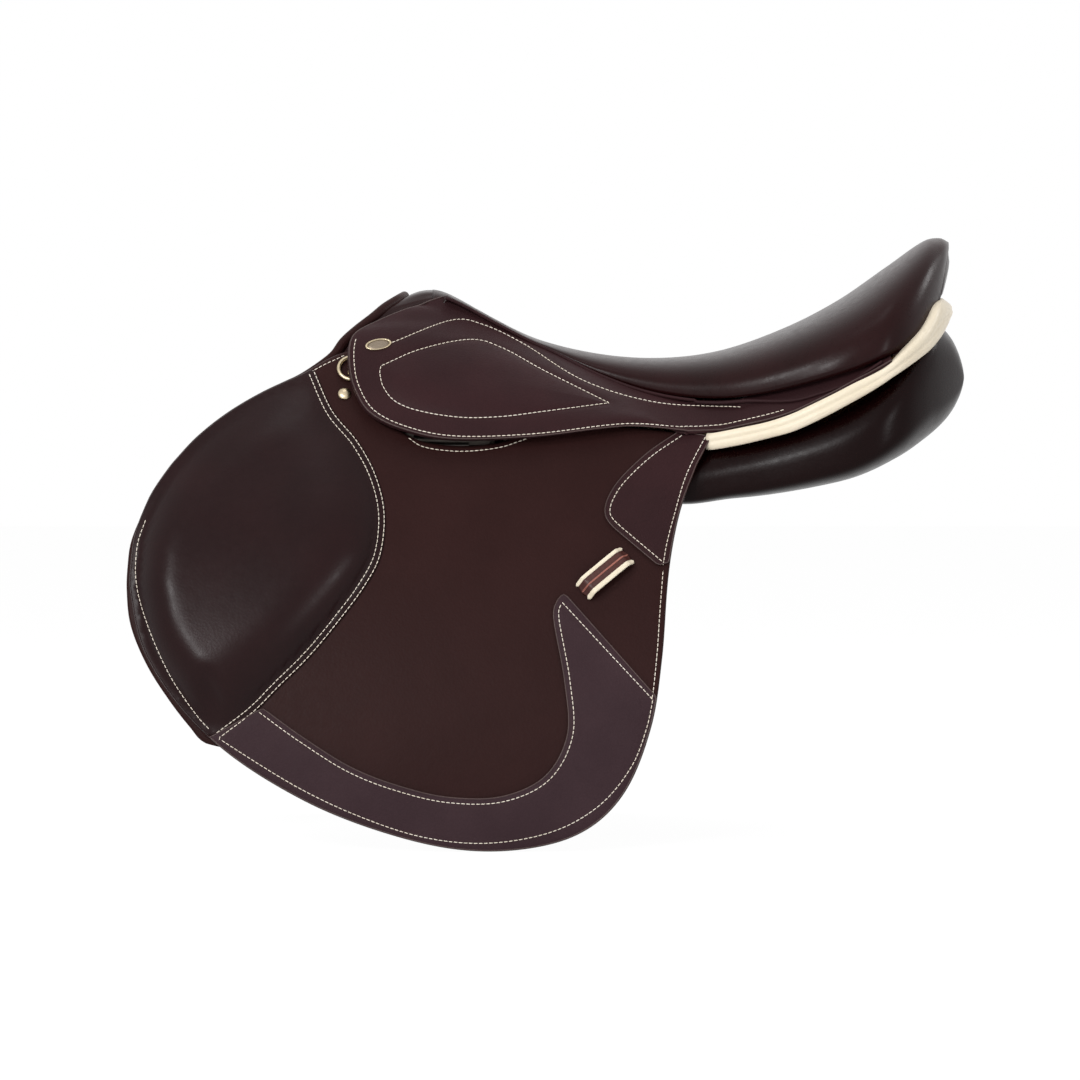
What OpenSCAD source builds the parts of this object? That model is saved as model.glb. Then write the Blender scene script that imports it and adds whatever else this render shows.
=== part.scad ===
// Jumping saddle with forward flaps, built up on a spring tree.
// X runs from pommel to cantle, Y to the rider's right, Z up. Lengths are in millimetres.
// The origin lies on the centre plane, level with the panels' bearing line on the horse's back.
// Leather that bends in use is cut at its bend line, where the two parts are hinged.

/* [Seat] */
// Front end of the seat, along X
seat_front = -178; // [-190:1:-172]
// Length of the seat, pommel front to cantle back
seat_length = 412; // [400:1:425]
// Height of the pommel
pommel_height = 160; // [152:1:170]
// Height of the seat's lowest point
seat_height = 109; // [104:1:114]
// Height of the cantle
cantle_height = 198; // [188:1:208]
// Half width of the seat at the twist
twist_half = 42; // [38:1:46]
// Half width of the seat at its widest
seat_half = 136; // [128:1:140]
// Depth of the seat's rolled side, where it is deepest
seat_roll = 62; // [56:1:66]
// Height of the raised rim either side of the seat's hollow
seat_dish = 5; // [0:0.5:7]
// Thickness of the seat leather with its backing
cover_t = 3; // [2:0.5:4]
// Thickness of the seat foam at the lowest point
foam_t = 16; // [13:1:18]

/* [Tree] */
// Thickness of the laminated tree
tree_t = 8; // [6:0.5:9]
// Half span of the arched head at its points
head_half = 96.5; // [94:0.5:98]
// Length of the head along X
head_length = 37; // [30:1:37]
// Thickness of the steel head plate
head_plate_t = 2; // [1.5:0.5:2]
// Width of the side rails
rail_w = 28; // [22:1:32]
// Width of the straining web under the seat
seat_web_w = 70; // [50:1:80]
// Thickness of the webs
web_t = 2; // [1.5:0.25:2.5]

/* [Panel] */
// Front end of the panels, along X
panel_front = -203; // [-208:1:-200]
// Rear end of the panels, along X
panel_back = 243; // [238:1:250]
// Half width across both panels at the rear
panel_half = 138; // [132:1:142]
// Half width of the gullet between the panels
gullet_half = 30; // [26:1:36]
// Depth of a panel's stuffing under the middle of the seat
panel_depth = 42; // [36:1:46]

/* [Flap] */
// Height of the line at which the flap bends
bend_z = 30; // [29:0.5:32]
// Place of the flap's lowest point, along X
flap_mid = -113; // [-120:1:-106]
// Reach of the flap forwards of its lowest point
flap_reach = 266; // [255:1:275]
// Reach of the flap backwards of its lowest point, on the bend line
flap_back = 154; // [150:1:158]
// Drop of the flap below its bend line
flap_drop = 282; // [265:1:295]
// Rise of the flap's front above its bend line
flap_rise = 68; // [64:1:70]
// Thickness of the flap, two leathers sewn together
flap_t = 5; // [4:0.5:6]
// Half width over the flaps at the reference height
flap_top_y = 92; // [90:0.5:94]
// How far the flap splays outwards, from the reference height to its foot
flap_splay = 122; // [116:1:128]
// Inward curl of the flap's front edge
flap_curl = 14; // [0:1:18]
// Thickness of the under flap
sweat_t = 4; // [3:0.5:5]
// Space between flap and under flap for the girth straps
strap_space = 8; // [7.5:0.5:10]
// Thickness of the padded knee area at its edge
knee_edge_t = 2; // [1.5:0.5:3]
// Crown of the padded knee area over its edge
knee_crown = 22; // [16:1:24]
// Thickness of the guard patches
guard_t = 2; // [1.5:0.5:3]

/* [Skirt] */
// Thickness of the skirt's leaf
skirt_t = 6; // [5:0.5:7]
// Thickness of the skirt where it is sewn to the seat
tail_t = 4; // [3:0.5:4.5]
// Stand-off of the skirt's edge from the flap
skirt_off = 8; // [7.5:0.5:9]
// Swell of the padded skirt
skirt_swell = 9; // [8:0.5:12]
// Length of the oval plate
plate_length = 20; // [16:1:24]
// Height of the oval plate
plate_height = 10; // [8:1:12]

/* [Cantle] */
// Height of the stripe at the back of the cantle
stripe_height = 14; // [12:0.5:15]
// Thickness of the stripe
stripe_t = 6; // [5:0.5:7]

/* [Stirrup bars] */
// Radius of the bar
bar_r = 5; // [4:0.5:5.5]
// Front end of the bar's plate, along X
bar_front = -180; // [-183:1:-176]
// Length of the bar's plate
bar_length = 70; // [64:1:72]
// Height of the bar's axis
bar_z = 48; // [47:0.5:50]
// Thickness of the bar's plate
bar_plate_t = 3; // [2.5:0.5:4]
// Clear gap between the plate and the bar
bar_gap = 7; // [6.5:0.5:8]
// Length of the catch past its pin
catch_length = 20; // [16:1:21]
// Radius of the catch's pin
pin_r = 1.5; // [1.25:0.25:2]

/* [Girth straps] */
// Place of the front strap, along X
strap_x = -91; // [-93:0.5:-89]
// Distance between neighbouring straps
strap_pitch = 44; // [42:0.5:46]
// Width of a strap
strap_w = 25; // [22:0.5:28]
// Thickness of a strap
strap_t = 4; // [3:0.5:4.5]
// Height of a strap's upper end
strap_top = 14; // [12:0.5:16]
// Height of a strap's pointed end
strap_end = -160; // [-165:1:-140]
// Radius of the punched holes
hole_r = 2.5; // [2:0.25:3]
// Distance between the punched holes
hole_pitch = 15; // [12:0.5:18]
// Number of punched holes
hole_count = 8; // [6:1:9]

/* [Fittings] */
// Inside height of a dee
dee_height = 16; // [14:0.5:20]
// Radius of the dee's wire
wire_r = 1.75; // [1.5:0.25:2]
// Radius of the stud's head
stud_r = 4.2; // [3.5:0.1:5]
// Length of the strap keeper
keeper_length = 44; // [38:1:50]
// Width of the strap keeper
keeper_w = 15; // [12:0.5:18]
// Clear height under the strap keeper
keeper_gap = 5.5; // [5:0.5:7]

/* [Hidden] */
// Gap left between leathers that lie on each other
lay = 0.3;
// Gap between the two parts of a leather on its bend line
slit = 0.4;
// Running clearance of a pin in its bore
running = 0.05;
// Height at which flap_top_y is measured, and the drop over which the splay is spread
flap_ref_z = 100;
flap_fall = 380;
// Distance from the centre plane at which the fall of the tree's underside is measured, and the
// share of it past which the fall runs on straight
fall_span = 100;
fall_knee = 0.7;
// How far below the bend line's outer padding the flap turns
bend_clear = 1;
BROWN = "#3a2a26";
GREY_BROWN = "#4a3c3d";
CREAM = "#efe3cc";
BRASS = "#cdbfa5";
STEEL = "#b9bcc0";
WOOD = "#c49a6a";
FOAM = "#d9cfae";
WEB = "#b3a58a";
$fn = 32;

SIDES = ["left", "right"];
SIDE_NODES = ["panel", "sweat_flap", "flap_top", "knee_roll_top", "skirt_tail", "stirrup_bar",
    "dee_chape", "stud", "skirt", "skirt_plate", "flap", "knee_roll", "flap_guard", "rear_guard",
    "keeper", "dee", "bar_catch", "catch_pin", "strap_front", "strap_middle", "strap_rear"];

// Curves and solids that the leathers share

function mix(a, b, t) = a + (b - a) * t;
function clamp01(t) = min(1, max(0, t));
function smooth(t) = let (c = clamp01(t)) c * c * (3 - 2 * c);
function unit(v) = v / norm(v);
function flat(lists) = [for (list = lists) each list];
function sum(v) = v * [for (x = v) 1];
function steps(n) = [for (i = [0:n]) i / n];

// Smooth curve through knots [x, y], held level past its ends
function knot_slope(k, i) =
    let (a = k[max(i - 1, 0)], b = k[min(i + 1, len(k) - 1)]) (b[1] - a[1]) / (b[0] - a[0]);
function knot_span(k, x, i = 0) =
    (i >= len(k) - 2 || x < k[i + 1][0]) ? i : knot_span(k, x, i + 1);
function curve(k, x) =
    let (i = knot_span(k, x), h = k[i + 1][0] - k[i][0], t = clamp01((x - k[i][0]) / h),
        a = knot_slope(k, i) * h, b = knot_slope(k, i + 1) * h)
    mix(k[i][1], k[i + 1][1], t * t * (3 - 2 * t)) + t * (1 - t) * (a * (1 - t) - b * t);

// Smooth curve in space through points, for t from 0 to 1
function path(points, t) =
    let (last = len(points) - 1)
    [for (axis = [0:len(points[0]) - 1]) curve([for (i = [0:last]) [i, points[i][axis]]], t * last)];

// Signed power, for rounded sections between an ellipse and a box
function puff(x, n) = sign(x) * pow(abs(x), 2 / n);

// Closed solid of triangles, turned so that its faces look outwards
module solid(points, faces) {
    volumes = [for (f = faces) points[f[0]] * cross(points[f[1]], points[f[2]])];
    polyhedron(points, sum(volumes) < 0 ? faces : [for (f = faces) [f[2], f[1], f[0]]]);
}

function quad(a, b, c, d) = [[a, b, c], [a, c, d]];

// Leather between two grids of points with the same rows and columns, closed round its edge
module leather(outer, inner) {
    rows = len(outer);
    cols = len(outer[0]);
    under = rows * cols;
    function at(i, j) = i * cols + j;
    faces = flat([
        for (i = [0:rows - 2], j = [0:cols - 2])
            let (a = at(i, j), b = at(i, j + 1), c = at(i + 1, j), d = at(i + 1, j + 1))
            concat(quad(a, b, d, c), quad(under + a, under + c, under + d, under + b)),
        for (j = [0:cols - 2])
            let (a = at(0, j), b = at(0, j + 1), c = at(rows - 1, j), d = at(rows - 1, j + 1))
            concat(quad(b, a, under + a, under + b), quad(c, d, under + d, under + c)),
        for (i = [0:rows - 2])
            let (a = at(i, 0), b = at(i + 1, 0), c = at(i, cols - 1), d = at(i + 1, cols - 1))
            concat(quad(a, b, under + b, under + a), quad(d, c, under + c, under + d))]);
    solid(concat(flat(outer), flat(inner)), faces);
}

// Solid through closed rings with the same number of points, with a fan over each end
module loft(rings) {
    count = len(rings[0]);
    last = len(rings) - 1;
    first_hub = count * (last + 1);
    faces = concat(
        flat([for (i = [0:last - 1], j = [0:count - 1])
            let (k = (j + 1) % count)
            quad(i * count + j, i * count + k, (i + 1) * count + k, (i + 1) * count + j)]),
        [for (j = [0:count - 1]) [first_hub, (j + 1) % count, j]],
        [for (j = [0:count - 1]) [first_hub + 1, last * count + j, last * count + (j + 1) % count]]);
    hubs = [for (ring = [rings[0], rings[last]]) [for (axis = [0:2]) sum([for (p = ring) p[axis]]) / count]];
    solid(concat(flat(rings), hubs), faces);
}

module on_side(side) {
    if (side == "left")
        mirror([0, 1, 0]) children();
    else
        children();
}

// The seat: profile along the centre, half width, and height of its edge, for u from 0 to 1

POMMEL_RISE = [[0, 0.95], [0.045, 1], [0.08, 0.93], [0.175, 0.51], [0.25, 0.24], [0.36, 0.04],
    [0.47, 0], [0.58, 0], [1, 0]];
CANTLE_RISE = [[0, 0], [0.36, 0], [0.47, 0], [0.58, 0.07], [0.69, 0.245], [0.8, 0.495], [0.89, 0.77],
    [0.955, 0.975], [0.98, 1], [1, 0.93]];
SEAT_WIDTH = [[0, -0.1], [0.05, -0.05], [0.17, 0], [0.25, 0.06], [0.36, 0.25], [0.43, 0.4],
    [0.53, 0.62], [0.62, 0.8], [0.72, 0.94], [0.8, 1], [0.88, 0.97], [1, 0.85]];
EDGE_DROP = [[0, 0.34], [0.05, 0.14], [0.08, 0.04], [0.25, 0.05], [0.36, 0.24], [0.43, 0.37],
    [0.53, 0.53], [0.62, 0.65], [0.72, 0.77], [0.8, 0.88], [0.88, 1], [0.925, 0.92], [0.957, 0.72],
    [0.98, 0.42], [1, 0.05]];
FOAM_SHARE = [[0, 0.4], [0.08, 0.55], [0.17, 0.44], [0.25, 0.44], [0.36, 0.7], [0.47, 1], [0.58, 1.4],
    [0.69, 1.8], [0.8, 2.2], [0.89, 2.35], [1, 2]];
// Fall of the tree's underside, from the centre plane to fall_span
TREE_FALL = [[0, 98], [0.08, 95], [0.17, 68], [0.25, 57], [0.36, 40], [0.43, 33], [0.53, 29],
    [0.62, 25], [0.72, 21], [0.8, 19], [1, 15]];
// Where the round back of the seat begins
round_u = 0.86;
// Squareness of the seat's cross section: 2 is an ellipse
seat_puff = 2.6;

function seat_x(u) = seat_front + u * seat_length;
function seat_u(x) = (x - seat_front) / seat_length;
function seat_top(u) = seat_height + (pommel_height - seat_height) * curve(POMMEL_RISE, u)
    + (cantle_height - seat_height) * curve(CANTLE_RISE, u);
function seat_close(u) = u < round_u ? 1 : sqrt(max(0, 1 - pow((u - round_u) / (1 - round_u), 2)));
function seat_w(u) = mix(twist_half, seat_half, curve(SEAT_WIDTH, u)) * seat_close(u);
function seat_edge(u) = seat_top(u) - seat_roll * curve(EDGE_DROP, u);
function seat_hollow(u) = seat_dish * clamp01((u - 0.35) / 0.3) * seat_close(u);
// Height of a point across the seat, for a from 0 at the centre to 90 at the edge
function seat_z(u, a, top, edge) = edge + (top - edge) * puff(cos(a), seat_puff)
    - seat_hollow(u) * pow(cos(a), 6);
// Places along the seat at which it is cut into sections, closer together where it turns
SEAT_U = concat([0, 0.02, 0.04], [for (i = [0:18]) mix(0.06, round_u, i / 18)],
    [for (a = [10:10:80]) mix(round_u, 1, sin(a))], [mix(round_u, 1, sin(86))]);
SEAT_A = [for (i = [-7:7]) i * 90 / 7];

// Interface between the tree and the panels, on which everything above and below is stacked

head_front = seat_front - 3.5;
stack_web = lay + tree_t + 2 * lay;
stack_cross = stack_web + web_t + 2 * lay;
stack_foam = stack_cross + web_t + 2 * lay;

function base_fall(t) = t < fall_knee ? t * t : fall_knee * (2 * t - fall_knee);
function base_z(x, y) =
    let (u = seat_u(x))
    seat_top(u) - cover_t - 2 * lay - foam_t * curve(FOAM_SHARE, u) - stack_foam
    - curve(TREE_FALL, u) * base_fall(abs(y) / fall_span);

// The outside of the flap, which is straight along X but for the curl at its front

function flap_depth(z) = 1 - (flap_ref_z - z) / flap_fall;
function flap_face(z) = flap_top_y + flap_splay * (1 - pow(flap_depth(z), 2));
function flap_y(x, z) =
    let (ahead = max(0, flap_mid - x) / flap_reach, below = max(0, bend_z - z) / flap_drop)
    flap_face(z) - flap_curl * below * ahead * ahead;
function flap_tilt(z) = atan(2 * flap_splay * flap_depth(z) / flap_fall);

// Frame on the flap's outside: x as X, y down the flap, z outwards
module on_flap(x, z) {
    translate([x, flap_y(x, z), z])
        rotate([flap_tilt(z) - 90, 0, 0])
            children();
}

// Outline of the flap below its bend line. The angle a runs from 0 on the line to 90 at the foot.
FLAP_FRONT = [[0, 0.895], [11, 0.985], [19, 1], [30, 0.95], [45, 0.775], [60, 0.52], [75, 0.24], [90, 0]];
FLAP_REAR = [[0, 1], [7, 0.915], [16, 0.86], [30, 0.825], [43, 0.77], [60, 0.62], [75, 0.38], [90, 0]];
function flap_z(a) = bend_z - flap_drop * sin(a);
function flap_front(a) = flap_mid - flap_reach * curve(FLAP_FRONT, a);
function flap_rear(a) = flap_mid + flap_back * curve(FLAP_REAR, a);
FLAP_A = concat([for (i = [0:14]) i * 6], [87]);

// Grid over the flap's outside from rows of [x, z], lifted outwards
function laid(rows, lift) = [for (row = rows) [for (p = row) [p[0], flap_y(p[0], p[1]) + lift, p[1]]]];

// Hinge line of the flap: outside the thickest padding that crosses the bend
knee_bend_share = 0.55;
hinge_y = flap_face(bend_z) + lay + knee_edge_t + knee_crown * knee_bend_share + bend_clear;

// Outline of the flap above its bend line, as the share of the flap's length and the height.
// The dip in the middle is the cut-out for the stirrup bar.
cut_low = 10;
cut_high = 30;
front_high = 80;
TOP_EDGE = [[0, 2], [0.05, 24], [0.105, 40], [0.17, 53], [0.245, flap_rise], [0.32, front_high],
    [0.38, front_high - 2], [0.398, 48], [0.43, 24], [0.48, 14], [0.535, cut_low], [0.6, 12],
    [0.66, 21], [0.7, 29], [0.8, cut_high], [0.92, 25], [1, 22]];
// Lean of the flap's rear edge above the bend line
rear_lean = 12;
function top_x(s) = mix(flap_front(0), flap_rear(0) + rear_lean, s);
function top_z(s) = bend_z + curve(TOP_EDGE, s);

// Padded knee area: its rear seam and crown, for the share f of the flap's drop below the bend line
knee_inset = 5;
knee_foot = 0.695;
KNEE_REAR = [[0, 0.338], [0.124, 0.297], [0.23, 0.305], [0.31, 0.346], [0.4, 0.417], [0.5, 0.506],
    [0.6, 0.616], [knee_foot, 0.75]];
KNEE_CROWN = [[0, knee_bend_share], [0.18, 0.9], [0.35, 1], [0.53, 0.88], [0.64, 0.55], [knee_foot, 0.15]];
KNEE_FRONT_TOP = [[0, 0.895], [0.34, 0.823], [0.59, 0.737], [0.78, 0.639], [1, 0.526]];
KNEE_REAR_TOP = [[0, 0.338], [0.25, 0.372], [0.59, 0.444], [1, 0.5]];
KNEE_CROWN_TOP = [[0, knee_bend_share], [0.5, 0.4], [1, 0.1]];
KNEE_ACROSS = steps(10);
function knee_pad(share, across) = knee_edge_t + knee_crown * share * (1 - pow(2 * across - 1, 4));

// A padded area from rows of [front x, rear x, z, crown share]
module knee_area(rows) {
    spots = [for (r = rows) [for (t = KNEE_ACROSS) [mix(r[0], r[1], t), r[2]]]];
    inner = laid(spots, lay);
    outer = [for (i = [0:len(rows) - 1]) [for (j = [0:len(KNEE_ACROSS) - 1])
        inner[i][j] + [0, knee_pad(rows[i][3], KNEE_ACROSS[j]), 0]]];
    leather(outer, inner);
}

// Under flap, which is longer than the flap at its lower front and leans in at its top
SWEAT_FRONT = [[0, 0.86], [7, 0.945], [15, 0.99], [21, 1.015], [27, 1], [34, 0.955], [41, 0.891],
    [47, 0.83], [51, 0.79], [56, 0.64], [65, 0.42], [76, 0.2], [90, 0]];
sweat_top = 6;
sweat_short = 16;
sweat_inset = 10;
function sweat_z(a) = bend_z + sweat_top - (flap_drop + sweat_top - sweat_short) * sin(a);
function sweat_face(x, z) = flap_y(x, z) - flap_t - strap_space;

// Skirt: its bend line runs straight from the seat's edge near the pommel to the skirt's lower edge
fold_front_x = seat_front + 15;
seam_gap = 1.8;
fold_rear = [35, 55];
function seat_edge_point(x) = [x, seat_w(seat_u(x)) + 1, seat_edge(seat_u(x)) - seam_gap];
FOLD_A = seat_edge_point(fold_front_x);
fold_clear = 4;
FOLD_B = [fold_rear[0], flap_face(fold_rear[1]) + tail_t + fold_clear, fold_rear[1]];
// Free edge of the leaf from the front of the fold round to its rear: x, z and stand-off of the outside
leaf_off = skirt_off + skirt_t;
SKIRT_EDGE = concat([FOLD_A], [for (p = [[-176, 145, -11], [-200, 136, -1], [-215, 128, leaf_off - 4],
    [-219.5, 118, leaf_off], [-219, 101, leaf_off], [-215, 86, leaf_off], [-204, 69, leaf_off],
    [-180, 57, leaf_off], [-143, 49.5, leaf_off], [-83, 51, leaf_off], [-31, 57, leaf_off],
    [-2, 58.5, leaf_off - 3]]) [p[0], flap_face(p[1]) + p[2], p[1]]], [FOLD_B]);
// Direction in which the leaf is thick
skirt_normal = unit([0, 0.72, 0.69]);
// Ends of the leaf stop short of the points where its edge meets the fold
leaf_end = 0.03;
LEAF_T = [for (t = steps(22)) mix(leaf_end, 1 - leaf_end, t)];
LEAF_S = steps(7);
function leaf_out(t, s) =
    let (fold = mix(FOLD_A, FOLD_B, t), edge = path(SKIRT_EDGE, t), from = slit / norm(edge - fold))
    mix(fold, edge, mix(from, 1, s)) + skirt_normal * skirt_swell * sin(180 * s) * pow(sin(180 * t), 0.8);

// Stripe and cantle back follow the seat's outline in plan, pushed outwards. k runs from 0 at
// the stripe's front end to 1 at the middle of the cantle's back.
stripe_u = 0.583;
STRIPE_OFF = [[0, 15], [0.2, 9], [0.45, 4], [1, 2.5]];
STRIPE_HEIGHT = [[0, 0.75], [0.3, 1], [1, 1]];
function rim_u(k) = k < 0.5 ? mix(stripe_u, round_u, k / 0.5) : mix(round_u, 1, sin((k - 0.5) * 180));
function rim_point(k) = [seat_x(rim_u(k)), seat_w(rim_u(k))];
function rim_out(k) =
    let (t = unit(rim_point(min(1, k + 0.005)) - rim_point(max(0, k - 0.005)))) [-t[1], t[0]];
function rim(k, off) = rim_point(k) + rim_out(k) * off;
function stripe_low(k) = let (p = rim(k, curve(STRIPE_OFF, k))) base_z(p[0], p[1]) + lay;
function stripe_high(k) = stripe_low(k) + stripe_height * curve(STRIPE_HEIGHT, k);
RIM_K = concat(steps(22), [for (i = [1:22]) 1 - i / 22]);

// Ring of a band that follows the rim on both sides: ring number i, offsets and heights
function rim_ring(i, k, in, out, low, high) =
    let (way = i <= 22 ? 1 : -1)
    [for (p = [[in, low], [out - 1.5, low], [out, mix(low, high, 0.3)], [out, mix(low, high, 0.7)],
        [out - 1.5, high], [in, high]]) let (q = rim(k, p[0])) [q[0], way * q[1], p[1]]];

// Stirrup bar

bar_plate_y = head_half + lay;
bar_y = bar_plate_y + bar_plate_t + bar_gap + bar_r;
plate_half_z = 11;
arm_length = 10;
// How far the arm runs past the bar's axis
arm_past = 2;
// Length of the bar behind its arm, for a stirrup leather
bar_free = 41;
rod_start = bar_front + arm_length;
rod_end = bar_front + arm_length + bar_free;
pin_x = rod_end - 4;
tongue_t = 4;
tongue_half = 3.6;
fork_gap = 0.2;
rivet_r = 3;
RIVET_X = [bar_front + 20, bar_front + bar_length - 12];

// Girth straps

STRAPS = ["strap_front", "strap_middle", "strap_rear"];
// Share of a strap's free space that lies between it and the flap
strap_share = 0.7;
strap_lift = (strap_space - strap_t) * strap_share;
strap_point = 16;
// Gap between a strap's round top and its web
strap_gap = 0.9;
first_hole = 26;
function strap_out(z) = flap_face(z) - flap_t - strap_lift;

// Dee and its clip

dee_x = -217.5;
dee_z = 100;
dee_lift = wire_r + 0.75;
// How much thinner the bow's wire is than the bar's
bow_less = 0.2;
chape_length = 12;
chape_wall = 1.25;
stud_place = [-222, 82];
keeper_place = [-28, -50];
keeper_angle = 41;
keeper_t = 2.5;
plate_t = 1.6;
plate_rim = 1.2;
// Height of the plate over the skirt's curve
plate_lift = 0.9;
plate_place = [0.325, 0.81];
// Slope of the plate, up to the rear
plate_slope = 18;

// Tree and padding

module tree_head() {
    xs = [for (t = steps(4)) mix(head_front, head_front + head_length, t)];
    ys = [for (i = [-14:14]) head_half * i / 14];
    color(WOOD)
        leather([for (x = xs) [for (y = ys) [x, y, base_z(x, y) + lay + tree_t]]],
            [for (x = xs) [for (y = ys) [x, y, base_z(x, y) + lay]]]);
}

// Middle of the rail in plan, from the head to the cantle: place along the seat, and share of its half width
rail_front = head_front + head_length + slit;
RAIL = concat([[rail_front, seat_half * 0.309]], [for (p = [[0.189, 0.324], [0.311, 0.382], [0.432, 0.485],
    [0.578, 0.647], [0.699, 0.765], [0.796, 0.765], [0.881, 0.618], [0.932, 0.338], [0.947, 0]])
    [seat_x(p[0]), seat_half * p[1]]]);
RAIL_SECTION = concat([for (w = [1, 0.5, 0, -0.5, -1]) [w, 0]], [for (w = [-1, -0.5, 0, 0.5, 1]) [w, 1]]);
module tree_rails() {
    half = [for (i = [0:18]) path(RAIL, i / 18)];
    line = concat(half, [for (i = [17:-1:0]) [half[i][0], -half[i][1]]]);
    last = len(line) - 1;
    rings = [for (i = [0:last])
        let (t = i == 0 || i == last ? [i == 0 ? 1 : -1, 0] : unit(line[i + 1] - line[i - 1]),
            across = [-t[1], t[0]] * rail_w / 2)
        [for (p = RAIL_SECTION)
            let (q = line[i] + across * p[0]) [q[0], q[1], base_z(q[0], q[1]) + lay + tree_t * p[1]]]];
    color(WOOD)
        loft(rings);
}

head_plate_inset = 5;
module head_plate() {
    half = head_half - head_plate_inset;
    ys = [for (i = [-12:12]) half * i / 12];
    outline = concat([for (y = ys) [y, base_z(head_front, y) + lay + tree_t]],
        [for (i = [24:-1:0]) [ys[i], base_z(head_front, ys[i]) + lay + 1]]);
    color(STEEL)
        translate([head_front - head_plate_t, 0, 0])
            rotate([90, 0, 90])
                linear_extrude(head_plate_t)
                    polygon(outline);
}

module bar_rivets() {
    color(STEEL)
        for (side = SIDES, x = RIVET_X)
            on_side(side)
                translate([x, bar_plate_y, bar_z + 3])
                    rotate([-90, 0, 0]) {
                        cylinder(h = bar_plate_t, r = rivet_r - running);
                        translate([0, 0, bar_plate_t])
                            cylinder(h = 1.6, r1 = rivet_r + 2, r2 = rivet_r);
                    }
}

web_ends = [seat_front + 24, seat_front + seat_length - 26];
module seat_web() {
    xs = [for (t = steps(24)) mix(web_ends[0], web_ends[1], t)];
    ys = [for (i = [-4:4]) seat_web_w / 2 * i / 4];
    color(WEB)
        leather([for (x = xs) [for (y = ys) [x, y, base_z(x, y) + stack_web + web_t]]],
            [for (x = xs) [for (y = ys) [x, y, base_z(x, y) + stack_web]]]);
}

// Cross section of a girth web: over the tree, then down to the top of the straps
web_turn = 0.9;
web_shoulder = 108;
function web_line(x, v) =
    let (s = abs(v), y = web_shoulder * min(1, s / web_turn), down = max(0, s - web_turn) / (1 - web_turn),
        over = [y, base_z(x, y) + stack_cross + web_t / 2],
        tip = [strap_out(strap_top) - strap_t / 2, strap_top + strap_gap], p = mix(over, tip, down))
    [sign(v) * p[0], p[1]];
module girth_web(from, to) {
    vs = [for (i = [-10:10]) i / 10];
    xs = [for (t = steps(3)) mix(from, to, t)];
    function lifted(x, v, d) =
        let (p = web_line(x, v), t = unit(web_line(x, min(1, v + 0.02)) - web_line(x, max(-1, v - 0.02))))
        [x, p[0] - t[1] * d, p[1] + t[0] * d];
    leather([for (x = xs) [for (v = vs) lifted(x, v, web_t / 2)]],
        [for (x = xs) [for (v = vs) lifted(x, v, -web_t / 2)]]);
}
module girth_webs() {
    color(WEB) {
        girth_web(strap_x - strap_w / 2, strap_x + strap_w / 2);
        girth_web(strap_x + strap_pitch - strap_w / 2, strap_x + 2 * strap_pitch + strap_w / 2);
    }
}

// Section of the seat drawn in by a margin
function seat_point(u, a, margin) =
    [mix(seat_x(u), seat_x(0.5), margin / seat_length * 2), (seat_w(u) - margin) * puff(sin(a), seat_puff),
        seat_z(u, a, seat_top(u) - margin, seat_edge(u))];

module seat_cover() {
    color(BROWN)
        leather([for (u = SEAT_U) [for (a = SEAT_A) seat_point(u, a, 0)]],
            [for (u = SEAT_U) [for (a = SEAT_A) seat_point(u, a, cover_t)]]);
}

module seat_foam() {
    top = [for (i = [1:len(SEAT_U) - 3]) [for (a = SEAT_A)
        seat_point(SEAT_U[i], a, cover_t + 2 * lay) - [0, 0, 3 * lay]]];
    color(FOAM)
        leather(top, [for (row = top) [for (p = row) [p[0], p[1], base_z(p[0], p[1]) + stack_foam + lay]]]);
}

// Cantle

module cantle_stripe() {
    color(CREAM)
        loft([for (i = [0:len(RIM_K) - 1])
            let (k = RIM_K[i], off = curve(STRIPE_OFF, k))
            rim_ring(i, k, off - 1, off - 1 + stripe_t, stripe_low(k), stripe_high(k))]);
}

back_start = 0.72;
// Gap under the seat's edge, filled by its seam
back_gap = 2;
module cantle_back() {
    color(GREY_BROWN)
        loft([for (i = [0:len(RIM_K) - 1])
            let (k = mix(back_start, 1, RIM_K[i]))
            rim_ring(i, k, -cover_t + lay, curve(STRIPE_OFF, k) + 2, stripe_high(k) + lay,
                max(stripe_high(k) + 1.2, seat_edge(rim_u(k)) - back_gap))]);
}

// Front arch: path of the roll from the middle under the pommel to its end on the flap, as shares of the
// way from one to the other, and path of the lining's lower edge from under the head to the bars
lip_middle = [seat_front - 6, 0, pommel_height - 7];
lip_end = [flap_mid - 0.53 * flap_reach, flap_top_y - 10, bend_z + flap_rise - 1];
function between(a, b, shares) = [for (t = shares) [for (axis = [0:2]) mix(a[axis], b[axis], t[axis])]];
LIP = between(lip_middle, lip_end, [[0, 0, 0], [0.057, 0.268, 0.063], [0.2, 0.512, 0.232],
    [0.414, 0.707, 0.464], [0.686, 0.878, 0.75], [1, 1, 1]]);
LIP_INNER = between([seat_front - 17, 0, pommel_height - 44], [seat_front - 50, flap_top_y + 8, bar_z - 2],
    [[0, 0, 0], [0.12, 0.17, 0.043], [0.39, 0.29, 0.214], [0.545, 0.41, 0.471], [0.7, 0.62, 0.771],
        [1, 1, 1]]);
lip_r = [4.5, 4];
facing_t = 3;
ARCH_V = [for (i = [-12:12]) i / 12];
function arch(points, v) = let (p = path(points, abs(v))) [p[0], sign(v) * p[1], p[2]];

module front_lip() {
    rings = [for (v = ARCH_V)
        let (t = unit(arch(LIP, min(1, v + 0.02)) - arch(LIP, max(-1, v - 0.02))),
            side = unit(cross(t, [1, 0, 0])))
        [for (a = [0:45:315]) arch(LIP, v) + side * lip_r[0] * sin(a) + cross(side, t) * lip_r[1] * cos(a)]];
    color(BROWN)
        loft(rings);
}

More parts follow.
